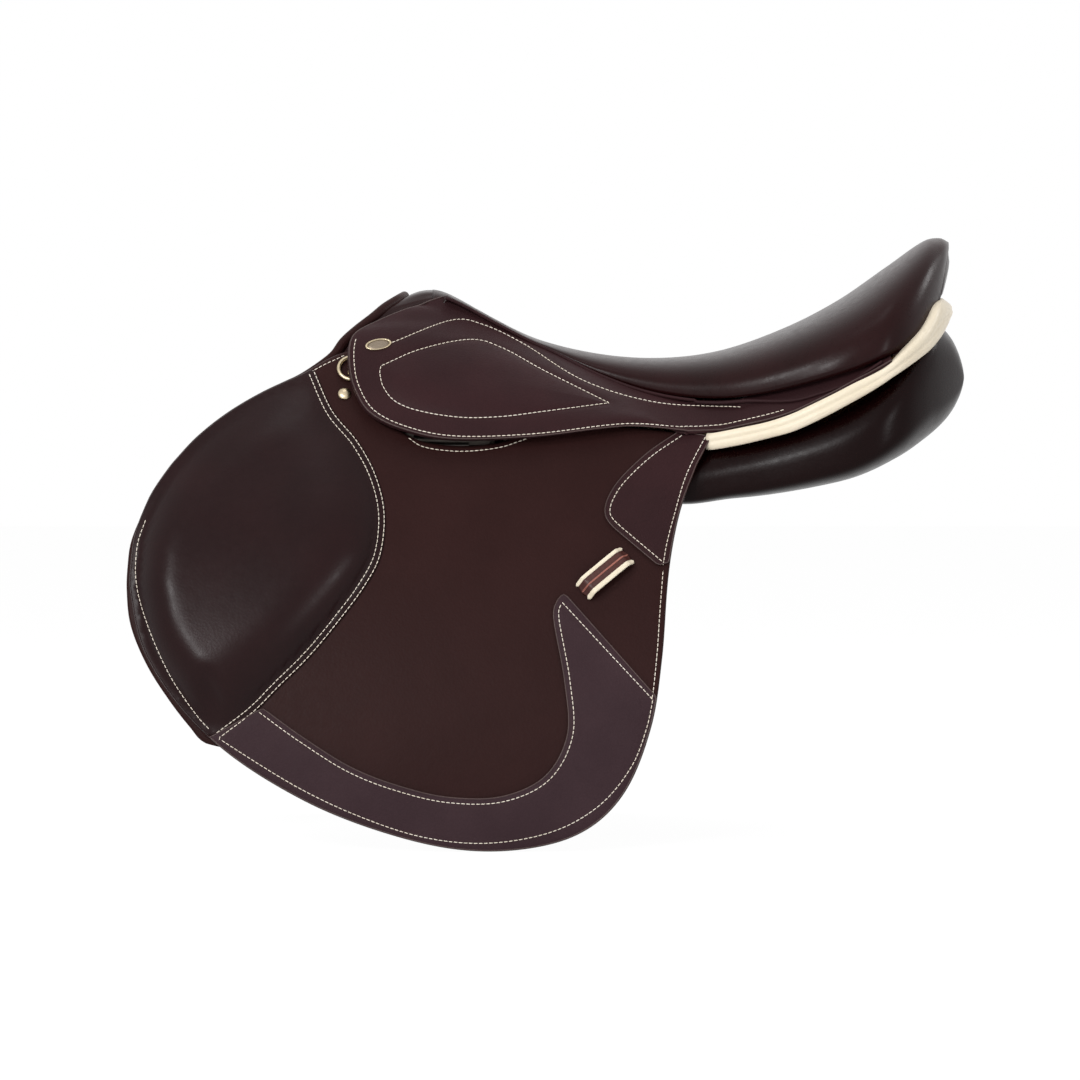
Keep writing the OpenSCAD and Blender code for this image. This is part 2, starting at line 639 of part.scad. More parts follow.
module front_facing() {
    outer = [for (s = steps(4)) [for (v = ARCH_V)
        mix(arch(LIP, v) + [-3, 0, -6.5], arch(LIP_INNER, v), s)]];
    color(BROWN)
        leather(outer, [for (row = outer) [for (p = row) p + [facing_t, 0, 0]]]);
}

// Leather over the arch from the roll back to the seat's nose and under the skirt, one piece each
// side. Its rear edge leaves the nose at arch_turn and lies over the tree from there.
arch_start = 0.15;
arch_turn = 0.42;
arch_rear_x = [seat_front - 0.8, seat_front + 18];
arch_over = 5;
function arch_rear(v) =
    let (y = path(LIP, v)[1] * 0.96,
        x = mix(arch_rear_x[0], arch_rear_x[1], clamp01((v - arch_turn) / 0.23)),
        nose = mix(seat_top(0) - 2, seat_edge(0), pow(clamp01(y / seat_w(0)), 3)))
    [x, y, mix(nose, base_z(x, y) + stack_web + arch_over, smooth((v - 0.3) / 0.12))];
module pommel_cover() {
    front = [lip_r[1] + 1.5, 0, -1];
    outer = [for (t = steps(12))
        let (v = mix(arch_start, 1, t))
        [for (s = steps(3)) mix(path(LIP, v) + front, arch_rear(v), s)]];
    color(GREY_BROWN)
        for (side = SIDES)
            on_side(side)
                leather(outer, [for (row = outer) [for (p = row) p - unit([0, 0.6, 0.8]) * cover_t]]);
}

// Panels

PANEL_OUTER = [[0, 0.55], [0.06, 0.655], [0.12, 0.675], [0.19, 0.68], [0.25, 0.78],
    [0.33, 0.9], [0.46, 0.93],
    [0.55, 0.93], [0.65, 0.96], [0.73, 1], [0.8, 1.025], [0.85, 1.02], [0.882, 0.985], [0.904, 0.935],
    [0.927, 0.85], [0.945, 0.765], [0.965, 0.66], [0.983, 0.56], [1, 0.46]];
PANEL_DEPTH = [[0, 0.7], [0.12, 0.9], [0.4, 1.1], [0.54, 1.32], [0.655, 1.5], [0.753, 1.6], [0.853, 1.67],
    [1, 1.7]];
// Where the rounding of the ends begins: nose, top of the tail, bottom of the tail
panel_nose = 0.05;
tail_top = 0.95;
tail_bottom = 0.9;
panel_puff = 3.6;
// Past this X the panels no longer rise with the cantle
tail_level = 218;
// Share of its depth that a panel loses at its outer edge
panel_taper = 0.3;
function panel_round(p, tail) =
    p < panel_nose ? sqrt(1 - pow((panel_nose - p) / panel_nose, 2))
    : p > tail ? sqrt(1 - pow((p - tail) / (1 - tail), 2)) : 1;
PANEL_P = concat([0.003, 0.015, 0.03], [for (i = [0:17]) mix(panel_nose, tail_bottom, i / 17)],
    [for (a = [25, 40, 55, 68, 78, 85]) mix(tail_bottom, 1, sin(a))]);
// Behind the under flap the panels spread out under the cantle
spread_from = 45;
spread_over = 55;
spread_reach = 70;
function panel_limit(x, z) = sweat_face(x, z) - sweat_t - lay
    + spread_reach * smooth((x - spread_from) / spread_over);
function panel_point(p, a) =
    let (x = mix(panel_front, panel_back, p), far = panel_half * curve(PANEL_OUTER, p),
        across = (1 + puff(cos(a), panel_puff) * mix(0.6, 1, panel_round(p, tail_top))) / 2,
        y = mix(gullet_half, far, across), half = panel_depth * curve(PANEL_DEPTH, p) / 2,
        up = puff(sin(a), panel_puff),
        round = up > 0 ? panel_round(p, tail_top)
            : panel_round(p, tail_bottom) * (1 - 2 * panel_taper * across * across),
        z = base_z(min(x, tail_level), y) - lay - half + half * round * up)
    [x, min(y, panel_limit(x, z)), z];

// Leather roof of the channel between the panels
lining_t = 1.5;
lining_ends = [head_front, 220];
module gullet_lining() {
    xs = [for (t = steps(20)) mix(lining_ends[0], lining_ends[1], t)];
    ys = [for (i = [-2:2]) (gullet_half - lay) * i / 2];
    color(BROWN)
        leather([for (x = xs) [for (y = ys) [x, y, base_z(x, y) - 2 * lay]]],
            [for (x = xs) [for (y = ys) [x, y, base_z(x, y) - 2 * lay - lining_t]]]);
}

module panel(side) {
    color(BROWN)
        on_side(side)
            loft([for (p = PANEL_P) [for (a = [0:20:340]) panel_point(p, a)]]);
}

// Flaps

module sweat_flap(side) {
    rows = [for (a = FLAP_A)
        let (front = flap_mid - flap_reach * curve(SWEAT_FRONT, a),
            rear = flap_rear(a) - sweat_inset * cos(a))
        [for (t = steps(6)) [mix(front, rear, t), sweat_z(a)]]];
    outer = [for (row = rows) [for (p = row) [p[0], sweat_face(p[0], p[1]), p[1]]]];
    color(BROWN)
        on_side(side)
            leather(outer, [for (row = outer) [for (p = row) p - [0, sweat_t, 0]]]);
}

module flap_top(side) {
    columns = [for (i = [0:36])
        let (s = i / 36, x = top_x(s), foot = mix(flap_front(0) + 2, flap_rear(0), s))
        [for (t = steps(3)) [mix(foot, x, t), mix(bend_z + slit / 2, top_z(s), t)]]];
    color(BROWN)
        on_side(side)
            leather(laid(columns, 0), laid(columns, -flap_t));
}

module flap(side) {
    rows = [for (a = FLAP_A) [for (t = steps(8))
        [mix(flap_front(a), flap_rear(a), t), flap_z(a) - slit / 2 * cos(a)]]];
    color(BROWN)
        on_side(side)
            leather(laid(rows, 0), laid(rows, -flap_t));
}

module knee_roll_top(side) {
    color(BROWN)
        on_side(side)
            knee_area([for (g = steps(5))
                [flap_mid - flap_reach * curve(KNEE_FRONT_TOP, g) + knee_inset,
                    flap_mid - flap_reach * curve(KNEE_REAR_TOP, g),
                    bend_z + slit / 2 + (flap_rise - knee_inset) * g, curve(KNEE_CROWN_TOP, g)]]);
}

module knee_roll(side) {
    color(BROWN)
        on_side(side)
            knee_area([for (t = steps(14))
                let (f = knee_foot * t)
                [flap_front(asin(f)) + knee_inset, flap_mid - flap_reach * curve(KNEE_REAR, f),
                    bend_z - slit / 2 - flap_drop * f, curve(KNEE_CROWN, f)]]);
}

// A patch sewn on the flap between two edges of [x, z]
guard_lift = 0.5;
module patch(side, edge_a, edge_b, along, across) {
    rows = [for (t = steps(along)) [for (s = steps(across)) mix(path(edge_a, t), path(edge_b, t), s)]];
    color(GREY_BROWN)
        on_side(side)
            leather(laid(rows, guard_lift + guard_t), laid(rows, guard_lift));
}

// Spot on the flap from shares of its reach, or of its rear length, and of its drop
function spot(across, down) =
    [flap_mid + (across < 0 ? flap_reach : flap_back) * across, bend_z - flap_drop * down];
edge_inset = 6;
guard_hub = [flap_mid, bend_z - flap_drop / 2];
function inset(p) = p + unit(guard_hub - p) * edge_inset;
function flap_rim(a) = inset(a <= 90 ? [flap_front(a), flap_z(a)] : [flap_rear(180 - a), flap_z(180 - a)]);
GUARD_INNER = [spot(-0.64, 0.64), spot(-0.52, 0.72), spot(-0.38, 0.795), spot(-0.11, 0.872), spot(0.1, 0.865),
    spot(0.29, 0.81), spot(0.4, 0.7), spot(0.385, 0.55), spot(0.33, 0.38), spot(0.35, 0.35)];
module flap_guard(side) {
    patch(side, [for (i = [0:12]) flap_rim(mix(47, 142, i / 12))], GUARD_INNER, 30, 3);
}

REAR_GUARD = [spot(0.79, 0.01), spot(0.67, 0.06), spot(0.58, 0.11), spot(0.575, 0.135), spot(0.62, 0.17),
    spot(0.72, 0.215), spot(0.8, 0.26)];
module rear_guard(side) {
    patch(side, [for (i = [0:8]) flap_rim(180 - mix(0.6, 15.5, i / 8))], REAR_GUARD, 14, 3);
}

// Bridge-shaped band that stands off the flap, with its two feet on it
module keeper(side) {
    foot = 5;
    half = keeper_length / 2;
    rise = keeper_gap + lay;
    side_outline = [[half - foot - 2, rise], [half - foot, 0], [half, 0], [half, 2],
        [half - foot, rise + keeper_t]];
    outline = concat(side_outline, [for (i = [4:-1:0]) [-side_outline[i][0], side_outline[i][1]]]);
    color(CREAM)
        on_side(side)
            on_flap(keeper_place[0], keeper_place[1])
                translate([0, 0, lay + 0.2])
                    rotate([90, 0, -keeper_angle])
                        linear_extrude(keeper_w, center = true)
                            polygon(outline);
}

// Skirts

module skirt(side) {
    outer = [for (t = LEAF_T) [for (s = LEAF_S) leaf_out(t, s)]];
    inner = [for (i = [0:len(LEAF_T) - 1])
        let (thick = mix(tail_t, skirt_t, sin(180 * LEAF_T[i])))
        [for (p = outer[i]) p - skirt_normal * thick]];
    color(GREY_BROWN)
        on_side(side)
            leather(outer, inner);
}

tail_tip = 0.87;
// Distance over which the tail's lower edge passes from the skirt's edge to the stripe
tail_pass = 30;
// Height of the tail's lower edge over the stripe
tail_over = 2.2;
function tail_low(x) =
    x <= FOLD_B[0] ? mix(FOLD_A, FOLD_B, (x - FOLD_A[0]) / (FOLD_B[0] - FOLD_A[0]))
    : let (k = max(0, (seat_u(x) - stripe_u) / (round_u - stripe_u) * 0.5),
        p = rim(k, curve(STRIPE_OFF, k) + 2), t = clamp01((x - FOLD_B[0]) / tail_pass))
    [x, mix(FOLD_B[1], p[1], t), mix(FOLD_B[2], stripe_high(k) + tail_over, t)];
module skirt_tail(side) {
    xs = [for (t = steps(26)) mix(FOLD_A[0] + 6, seat_x(tail_tip), t)];
    inwards = unit([0, 0.9, 0.4]) * tail_t;
    outer = [for (x = xs) [for (s = steps(4)) mix(seat_edge_point(x), tail_low(x), s)]];
    color(GREY_BROWN)
        on_side(side)
            leather(outer, [for (row = outer) [for (p = row) p - inwards]]);
}

module skirt_plate(side) {
    t = plate_place[0];
    s = plate_place[1];
    spot = leaf_out(t, s);
    out = unit(cross(leaf_out(t + 0.02, s) - spot, leaf_out(t, s + 0.05) - spot));
    lean = [cos(plate_slope), 0, sin(plate_slope)];
    along = unit(lean - out * (lean * out));
    up = cross(out, along);
    at = spot + out * plate_lift;
    color(BRASS)
        on_side(side)
            multmatrix([for (i = [0:2]) [along[i], up[i], out[i], at[i]]])
                for (tier = [0, 1])
                    linear_extrude(plate_t * (tier == 0 ? 0.6 : 1))
                        polygon([for (a = [0:10:350]) let (rim = plate_rim * tier)
                            [(plate_length / 2 - rim) * cos(a), (plate_height / 2 - rim) * sin(a)]]);
}

// Metalwork

module stirrup_bar(side) {
    color(STEEL)
        on_side(side)
            difference() {
                union() {
                    translate([bar_front, bar_plate_y, bar_z - plate_half_z])
                        cube([bar_length, bar_plate_t, 2 * plate_half_z]);
                    translate([bar_front, bar_plate_y, bar_z - bar_r])
                        cube([arm_length, bar_y + arm_past - bar_plate_y, 2 * bar_r]);
                    translate([rod_start, bar_y, bar_z])
                        rotate([0, 90, 0])
                            cylinder(h = rod_end - rod_start, r = bar_r);
                }
                for (x = RIVET_X)
                    translate([x, bar_plate_y - 1, bar_z + 3])
                        rotate([-90, 0, 0])
                            cylinder(h = bar_plate_t + 2, r = rivet_r);
                translate([pin_x - 6, bar_y - tongue_t / 2 - fork_gap, bar_z - 2 * bar_r])
                    cube([20, tongue_t + 2 * fork_gap, 4 * bar_r]);
                translate([pin_x, bar_y, bar_z])
                    rotate([90, 0, 0])
                        cylinder(h = 4 * bar_r, r = pin_r, center = true);
            }
}

module catch_pin(side) {
    color(STEEL)
        on_side(side)
            translate([pin_x, bar_y, bar_z])
                rotate([90, 0, 0])
                    cylinder(h = 1.8 * bar_r, r = pin_r, center = true);
}

module bar_catch(side) {
    color(STEEL)
        on_side(side)
            translate([pin_x, bar_y + tongue_t / 2, bar_z])
                rotate([90, 0, 0])
                    difference() {
                        union() {
                            cylinder(h = tongue_t, r = tongue_half);
                            translate([0, -tongue_half, 0])
                                cube([catch_length - tongue_half, 2 * tongue_half, tongue_t]);
                            translate([catch_length - tongue_half, 0, 0])
                                cylinder(h = tongue_t, r = tongue_half);
                        }
                        translate([0, 0, -1])
                            cylinder(h = tongue_t + 2, r = pin_r + running);
                    }
}

// Straight bar with chamfered ends, and a bow of slightly thinner wire that runs into it
module dee(side) {
    bow = dee_height / 2 + wire_r;
    end = bow + wire_r;
    chamfer = wire_r / 2;
    color(BRASS)
        on_side(side)
            on_flap(dee_x, dee_z)
                translate([0, 0, dee_lift]) {
                    rotate([90, 0, 0])
                        rotate_extrude()
                            polygon([[0, -end], [wire_r - chamfer, -end], [wire_r, chamfer - end],
                                [wire_r, end - chamfer], [wire_r - chamfer, end], [0, end]]);
                    rotate([0, 0, 90])
                        rotate_extrude(angle = 180)
                            translate([bow, 0])
                                circle(wire_r - bow_less);
                }
}

module dee_chape(side) {
    tube = wire_r + running + chape_wall;
    color(BRASS)
        on_side(side)
            on_flap(dee_x, dee_z)
                translate([0, -chape_length / 2, 0])
                    difference() {
                        union() {
                            translate([0, 0, dee_lift])
                                rotate([-90, 0, 0])
                                    cylinder(h = chape_length, r = tube);
                            translate([0, 0, lay])
                                cube([12, chape_length, 1.5]);
                        }
                        translate([0, -1, dee_lift])
                            rotate([-90, 0, 0])
                                cylinder(h = chape_length + 2, r = wire_r + running);
                        translate([-tube - 1, -1, lay - 4])
                            cube([tube + 14, chape_length + 2, 4]);
                    }
}

module stud(side) {
    color(BRASS)
        on_side(side)
            on_flap(stud_place[0], stud_place[1])
                translate([0, 0, lay])
                    rotate_extrude()
                        polygon(concat([[0, 0], [stud_r, 0]],
                            [for (a = [0:15:90]) [stud_r * cos(a), 0.8 + 1.8 * sin(a)]]));
}

// Girth straps, each curved as the flap is and pointed at its foot
module strap(side, x) {
    zs = [for (t = steps(20)) mix(strap_top, strap_end, t)];
    profile = concat([for (z = zs) [strap_out(z), z]],
        [for (i = [20:-1:0]) [strap_out(zs[i]) - strap_t, zs[i]]]);
    half = strap_w / 2;
    tip = [[half, strap_end + strap_point], [half * 0.45, strap_end + 2]];
    outline = concat([for (a = [180:-15:0]) [half * cos(a), strap_top - half + half * sin(a)]], tip,
        [[0, strap_end - 1]], [for (i = [1, 0]) [-tip[i][0], tip[i][1]]]);
    color(BROWN)
        on_side(side)
            difference() {
                intersection() {
                    translate([x - half, 0, 0])
                        rotate([90, 0, 90])
                            linear_extrude(strap_w)
                                polygon(profile);
                    translate([x, 2 * flap_splay + flap_top_y, 0])
                        rotate([90, 0, 0])
                            linear_extrude(2 * flap_splay + flap_top_y)
                                polygon(outline);
                }
                for (i = [0:hole_count - 1])
                    let (z = strap_end + first_hole + hole_pitch * i)
                        translate([x, strap_out(z), z])
                            rotate([flap_tilt(z) - 90, 0, 0])
                                cylinder(h = 4 * strap_t, r = hole_r, center = true);
            }
}

tree_head();
tree_rails();
head_plate();
bar_rivets();
seat_web();
girth_webs();
seat_foam();
seat_cover();
pommel_cover();
cantle_back();
cantle_stripe();
front_facing();
front_lip();
gullet_lining();
for (side = SIDES) {
    panel(side);
    sweat_flap(side);
    flap_top(side);
    knee_roll_top(side);
    skirt_tail(side);
    stirrup_bar(side);
    dee_chape(side);
    stud(side);
    skirt(side);
    skirt_plate(side);
    flap(side);
    knee_roll(side);
    flap_guard(side);
    rear_guard(side);
    keeper(side);
    dee(side);
    bar_catch(side);
    catch_pin(side);
    for (i = [0:2])
        strap(side, strap_x + strap_pitch * i);
}
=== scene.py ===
# %% [markdown]
# # A jumping saddle, dressed in leather
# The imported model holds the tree, the metal and plain solids where the leather goes. This lesson loads
# it as a fixed frame and builds the leather, the padding, the thread and the finishes around it.
# Lengths are written in millimetres and turned to metres when a mesh is made.

# %% Load the frame
import math

import bmesh
import bpy
import numpy as np
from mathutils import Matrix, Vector
from mathutils.bvhtree import BVHTree
from mathutils.geometry import delaunay_2d_cdt


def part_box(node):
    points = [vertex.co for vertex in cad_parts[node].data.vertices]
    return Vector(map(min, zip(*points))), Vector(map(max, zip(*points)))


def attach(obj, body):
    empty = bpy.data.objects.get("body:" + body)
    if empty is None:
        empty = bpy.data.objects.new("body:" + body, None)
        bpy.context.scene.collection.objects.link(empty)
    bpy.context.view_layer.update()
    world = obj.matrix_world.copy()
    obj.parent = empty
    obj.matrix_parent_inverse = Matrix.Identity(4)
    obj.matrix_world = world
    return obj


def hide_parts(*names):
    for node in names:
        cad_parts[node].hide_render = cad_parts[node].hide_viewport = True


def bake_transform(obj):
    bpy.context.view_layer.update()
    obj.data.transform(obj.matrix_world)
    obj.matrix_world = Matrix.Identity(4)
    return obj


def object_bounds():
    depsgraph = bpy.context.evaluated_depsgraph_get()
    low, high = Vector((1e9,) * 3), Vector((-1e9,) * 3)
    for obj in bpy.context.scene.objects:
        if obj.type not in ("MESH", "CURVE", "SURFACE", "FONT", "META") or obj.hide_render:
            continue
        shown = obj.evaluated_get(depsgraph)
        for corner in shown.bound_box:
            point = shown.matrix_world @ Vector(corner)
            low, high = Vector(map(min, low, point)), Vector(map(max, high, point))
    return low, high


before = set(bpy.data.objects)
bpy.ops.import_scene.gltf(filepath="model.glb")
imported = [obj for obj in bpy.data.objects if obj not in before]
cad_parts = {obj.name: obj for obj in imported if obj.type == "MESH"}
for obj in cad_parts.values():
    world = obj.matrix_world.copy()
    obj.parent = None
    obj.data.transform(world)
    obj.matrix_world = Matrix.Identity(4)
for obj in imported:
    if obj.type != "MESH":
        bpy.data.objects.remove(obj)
cad_box = [list(corner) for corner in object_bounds()]
scene = bpy.context.scene
MM = 0.001
SIDES = {"right": 1, "left": -1}

# %% [markdown]
# The photograph was taken from the saddle's left, almost level, with a long lens. A camera six metres
# away and two degrees up gives the same flat perspective. The image is 1080 pixels square, and one
# pixel is 0.76 mm on the plane through the middle of the saddle.

# %% Camera
IMAGE = 1080
PIXEL = 0.76
TARGET = np.array([-76, 0, -30.4])
DISTANCE = 6000
TILT = math.radians(2)
EYE = TARGET + DISTANCE * np.array([0, -math.cos(TILT), math.sin(TILT)])

camera_data = bpy.data.cameras.new("camera")
camera_data.sensor_width = 36
camera_data.lens = camera_data.sensor_width * DISTANCE / (IMAGE * PIXEL)
camera = bpy.data.objects.new("camera", camera_data)
camera.location = EYE * MM
camera.rotation_euler = (math.pi / 2 - TILT, 0, 0)
scene.collection.objects.link(camera)
scene.camera = camera
print("camera: lens", round(camera_data.lens), "mm")

# %% [markdown]
# The studio is a pale floor under soft light: a very large soft box overhead, and five smaller ones
# beside the camera and the cantle, whose reflections draw the highlights on knee, seat and panels. A
# picture wrapped round the world could light it too, but boxes can be aimed one by one. The background
# is white to the camera and in reflections, through Light Path, so the leather is lit at a plain level.

# %% Colours and nodes
def srgb(hex_code):
    """sRGB hex to linear colour."""
    parts = [int(hex_code[i:i + 2], 16) / 255 for i in (1, 3, 5)]
    return [c / 12.92 if c <= 0.04045 else ((c + 0.055) / 1.055) ** 2.4 for c in parts] + [1]


def add_node(tree, kind, inputs=None, **settings):
    """A node with its settings, and its inputs set to values or linked to sockets."""
    made = tree.nodes.new(kind)
    for key, value in settings.items():
        setattr(made, key, value)
    for key, value in (inputs or {}).items():
        if isinstance(value, bpy.types.NodeSocket):
            tree.links.new(value, made.inputs[key])
        else:
            made.inputs[key].default_value = value
    return made


def blank_finish(name):
    """A new material and its emptied node tree."""
    made = bpy.data.materials.new(name)
    made.use_nodes = True
    made.node_tree.nodes.clear()
    return made, made.node_tree


print("mid grey in linear light:", [round(c, 3) for c in srgb("#808080")[:3]])

# %% World
scene.view_settings.view_transform = "Standard"


def seen_directly(tree):
    """1 for rays from the camera, from gloss and through glass, else 0."""
    ray = add_node(tree, "ShaderNodeLightPath").outputs
    first = add_node(tree, "ShaderNodeMath", {0: ray["Is Camera Ray"], 1: ray["Is Glossy Ray"]},
                     operation="MAXIMUM")
    return add_node(tree, "ShaderNodeMath", {0: first.outputs[0], 1: ray["Is Transmission Ray"]},
                    operation="MAXIMUM").outputs[0]


world = bpy.data.worlds.new("studio")
scene.world = world
world.use_nodes = True
tree = world.node_tree
tree.nodes.clear()
dim = add_node(tree, "ShaderNodeBackground", {"Color": srgb("#ffffff"), "Strength": 0.32})
white = add_node(tree, "ShaderNodeBackground", {"Color": srgb("#ffffff"), "Strength": 1.0})
sky = add_node(tree, "ShaderNodeMixShader",
               {0: seen_directly(tree), 1: dim.outputs[0], 2: white.outputs[0]})
add_node(tree, "ShaderNodeOutputWorld", {"Surface": sky.outputs[0]})
print("world: white to the camera, dim to matt surfaces")

# %% Soft boxes


def soft_box(name, place, aim, size, power, mirrored_in_gloss=True):
    """A rectangular lamp at a place, turned to its aim, in metres and watts."""
    lamp = bpy.data.lights.new(name, "AREA")
    lamp.shape = "RECTANGLE"
    lamp.size, lamp.size_y = size
    lamp.energy = power
    made = bpy.data.objects.new(name, lamp)
    made.location = place
    made.rotation_euler = (Vector(aim) - Vector(place)).to_track_quat("-Z", "Y").to_euler()
    made.visible_glossy = mirrored_in_gloss
    scene.collection.objects.link(made)


soft_box("overhead", (0, 0.3, 2.2), (-0.05, 0, 0.05), (3.2, 2.6), 38, mirrored_in_gloss=False)
soft_box("top", (-0.2, -0.5, 2.4), (-0.15, 0, 0), (0.8, 0.6), 3)
soft_box("front", (-1.12, -3.08, 1.07), (-0.1, 0, 0), (0.45, 0.45), 34)
soft_box("shoulder", (-1.84, -2.45, 1.55), (-0.1, 0, 0), (0.5, 0.45), 32)
soft_box("side", (2.0, -2.7, 0.45), (0.15, 0, 0.05), (0.35, 0.35), 12)
soft_box("behind_cantle", (2.3, 0.9, 1.3), (0.2, 0, 0.1), (0.5, 0.7), 12)
print("soft boxes:", len(bpy.data.lights))

# %% Floor
FLOOR_SIZE, FLOOR_GAP = 14, 0.0005   # metres; the gap keeps the floor just below the flaps
bpy.ops.mesh.primitive_plane_add(size=FLOOR_SIZE, location=(0, 0, cad_box[0][2] - FLOOR_GAP))
floor = bpy.context.object
floor.name = "floor"
# Painted board: matt, so it keeps a faint shadow, and nearly as white as the background.
pale, tree = blank_finish("pale_painted_board")
matt = add_node(tree, "ShaderNodeBsdfDiffuse", {"Color": srgb("#f2f2f2")})
glow = add_node(tree, "ShaderNodeEmission", {"Color": srgb("#ffffff"), "Strength": 1.05})
share = add_node(tree, "ShaderNodeMath", {0: seen_directly(tree), 1: 0.92}, operation="MULTIPLY")
mixed = add_node(tree, "ShaderNodeMixShader",
                 {0: share.outputs[0], 1: matt.outputs[0], 2: glow.outputs[0]})
add_node(tree, "ShaderNodeOutputMaterial", {"Surface": mixed.outputs[0]})
floor.data.materials.append(pale)
print("floor at", round(cad_box[0][2] / MM), "mm")

# %% [markdown]
# The saddle's leathers are smooth surfaces between a few measured points. They could be sculpted by
# hand, but then they would drift from the solids, so most are made from curves through knots, the
# same ones that shape the solids.

# %% Curves


def mix(a, b, t):
    """From a to b as t goes from 0 to 1."""
    return a + (b - a) * t


def smooth(t):
    """An even start and end between 0 and 1."""
    t = np.clip(t, 0, 1)
    return t * t * (3 - 2 * t)


def puff(x, n):
    """Fills a sine or cosine out towards a square, as n grows past 2."""
    return np.sign(x) * np.abs(x) ** (2 / n)


def curve(table, x):
    """Smooth curve through knots (x, y), level past its ends."""
    k, x = np.asarray(table, float), np.asarray(x, float)
    last = len(k) - 1
    i = np.clip(np.searchsorted(k[:, 0], x, side="right") - 1, 0, last - 1)
    each = np.arange(last + 1)
    low, high = np.maximum(each - 1, 0), np.minimum(each + 1, last)
    slope = (k[high, 1] - k[low, 1]) / (k[high, 0] - k[low, 0])
    h = k[i + 1, 0] - k[i, 0]
    t = np.clip((x - k[i, 0]) / h, 0, 1)
    bow = slope[i] * h * (1 - t) - slope[i + 1] * h * t
    return mix(k[i, 1], k[i + 1, 1], smooth(t)) + t * (1 - t) * bow


def path(points, t):
    """Smooth curve through points, for t from 0 to 1."""
    points, t = np.asarray(points, float), np.asarray(t, float)
    index = np.arange(len(points))
    return np.stack([curve(np.column_stack([index, points[:, axis]]), t * index[-1])
                     for axis in range(points.shape[1])], -1)


def resample(line, step, closed=False):
    """Points a step apart along a line."""
    line = np.asarray(line, float)
    if closed:
        line = np.vstack([line, line[:1]])
    gone = np.concatenate([[0], np.cumsum(np.linalg.norm(np.diff(line, axis=0), axis=1))])
    count = max(2, int(round(gone[-1] / step)))
    at = np.linspace(0, gone[-1], count + 1)
    made = np.stack([np.interp(at, gone, line[:, axis]) for axis in range(line.shape[1])], -1)
    return made[:-1] if closed else made


def seam(points, step=2.0):
    """A smooth line through a few points, sampled a step apart."""
    return resample(path(points, np.linspace(0, 1, 40 * len(points))), step)


print("curves: a straight seam of 100 mm has", len(seam([(0, 0), (100, 0)])), "points")

# %% [markdown]
# Every piece becomes a mesh with its place in its vertices. A leather is two grids of points, outside
# and inside, closed round the edge. A loft joins rings of points, and a tube is a loft along a line.
# Blender's curve objects could make the tubes, but plain meshes can be mirrored, measured and sewn on.

# %% Mesh helpers


def piece(name, points, faces):
    """A new object from points in millimetres and faces."""
    mesh = bpy.data.meshes.new(name)
    mesh.from_pydata((np.asarray(points, float) * MM).tolist(), [], [list(map(int, f)) for f in faces])
    made = bpy.data.objects.new(name, mesh)
    scene.collection.objects.link(made)
    tidy(made)
    return made


def tidy(obj):
    """Joins points that meet, turns the faces outwards and shades them smooth."""
    bm = bmesh.new()
    bm.from_mesh(obj.data)
    bmesh.ops.remove_doubles(bm, verts=bm.verts, dist=2e-6)
    bmesh.ops.dissolve_degenerate(bm, edges=bm.edges, dist=1e-6)
    bmesh.ops.recalc_face_normals(bm, faces=bm.faces)
    bm.to_mesh(obj.data)
    bm.free()
    obj.data.shade_smooth()


def grid_faces(rows, cols, first=0, wrap=False):
    """Four-sided faces of a grid whose points are numbered from first, row by row."""
    ids = first + np.arange(rows * cols).reshape(rows, cols)
    if wrap:
        ids = np.hstack([ids, ids[:, :1]])
    corners = [ids[:-1, :-1], ids[:-1, 1:], ids[1:, 1:], ids[1:, :-1]]
    return np.stack(corners, -1).reshape(-1, 4).tolist()


def leather(name, outer, inner):
    """Closed leather between two grids of points."""
    rows, cols = outer.shape[:2]
    count = rows * cols
    ids = np.arange(count).reshape(rows, cols)
    rim = np.concatenate([ids[0, :-1], ids[:-1, -1], ids[-1, :0:-1], ids[:0:-1, 0]])
    after = np.roll(rim, -1)
    faces = grid_faces(rows, cols) + [f[::-1] for f in grid_faces(rows, cols, count)]
    faces += np.stack([after, rim, rim + count, after + count], -1).tolist()
    return piece(name, np.concatenate([outer.reshape(-1, 3), inner.reshape(-1, 3)]), faces)


def loft(name, rings):
    """Closed solid through rings of points, with flat ends."""
    rings = np.asarray(rings, float)
    rows, cols = rings.shape[:2]
    faces = grid_faces(rows, cols, wrap=True)
    faces += [list(range(cols - 1, -1, -1)), list(range((rows - 1) * cols, rows * cols))]
    return piece(name, rings.reshape(-1, 3), faces)


def tube(name, line, radius, sides=10, closed=False):
    """Round cord along a line of points."""
    line = np.asarray(line, float)
    if closed:
        ahead, behind = np.roll(line, -1, 0), np.roll(line, 1, 0)
    else:
        ahead, behind = np.vstack([line[1:], line[-1:]]), np.vstack([line[:1], line[:-1]])
    along = ahead - behind
    along /= np.linalg.norm(along, axis=1)[:, None]
    side = np.cross(along[0], [0.3, 0.2, 0.93])
    rings = []
    for centre, t in zip(line, along):
        side = side - t * (side @ t)
        side /= np.linalg.norm(side)
        other = np.cross(t, side)
        turn = np.linspace(0, 2 * math.pi, sides, endpoint=False)
        ring = np.cos(turn)[:, None] * side + np.sin(turn)[:, None] * other
        rings.append(centre + radius * ring)
    rings = np.array(rings)
    if not closed:
        return loft(name, rings)
    faces = grid_faces(len(rings) + 1, sides, wrap=True)
    count = len(rings) * sides
    return piece(name, rings.reshape(-1, 3), [[i % count for i in f] for f in faces])


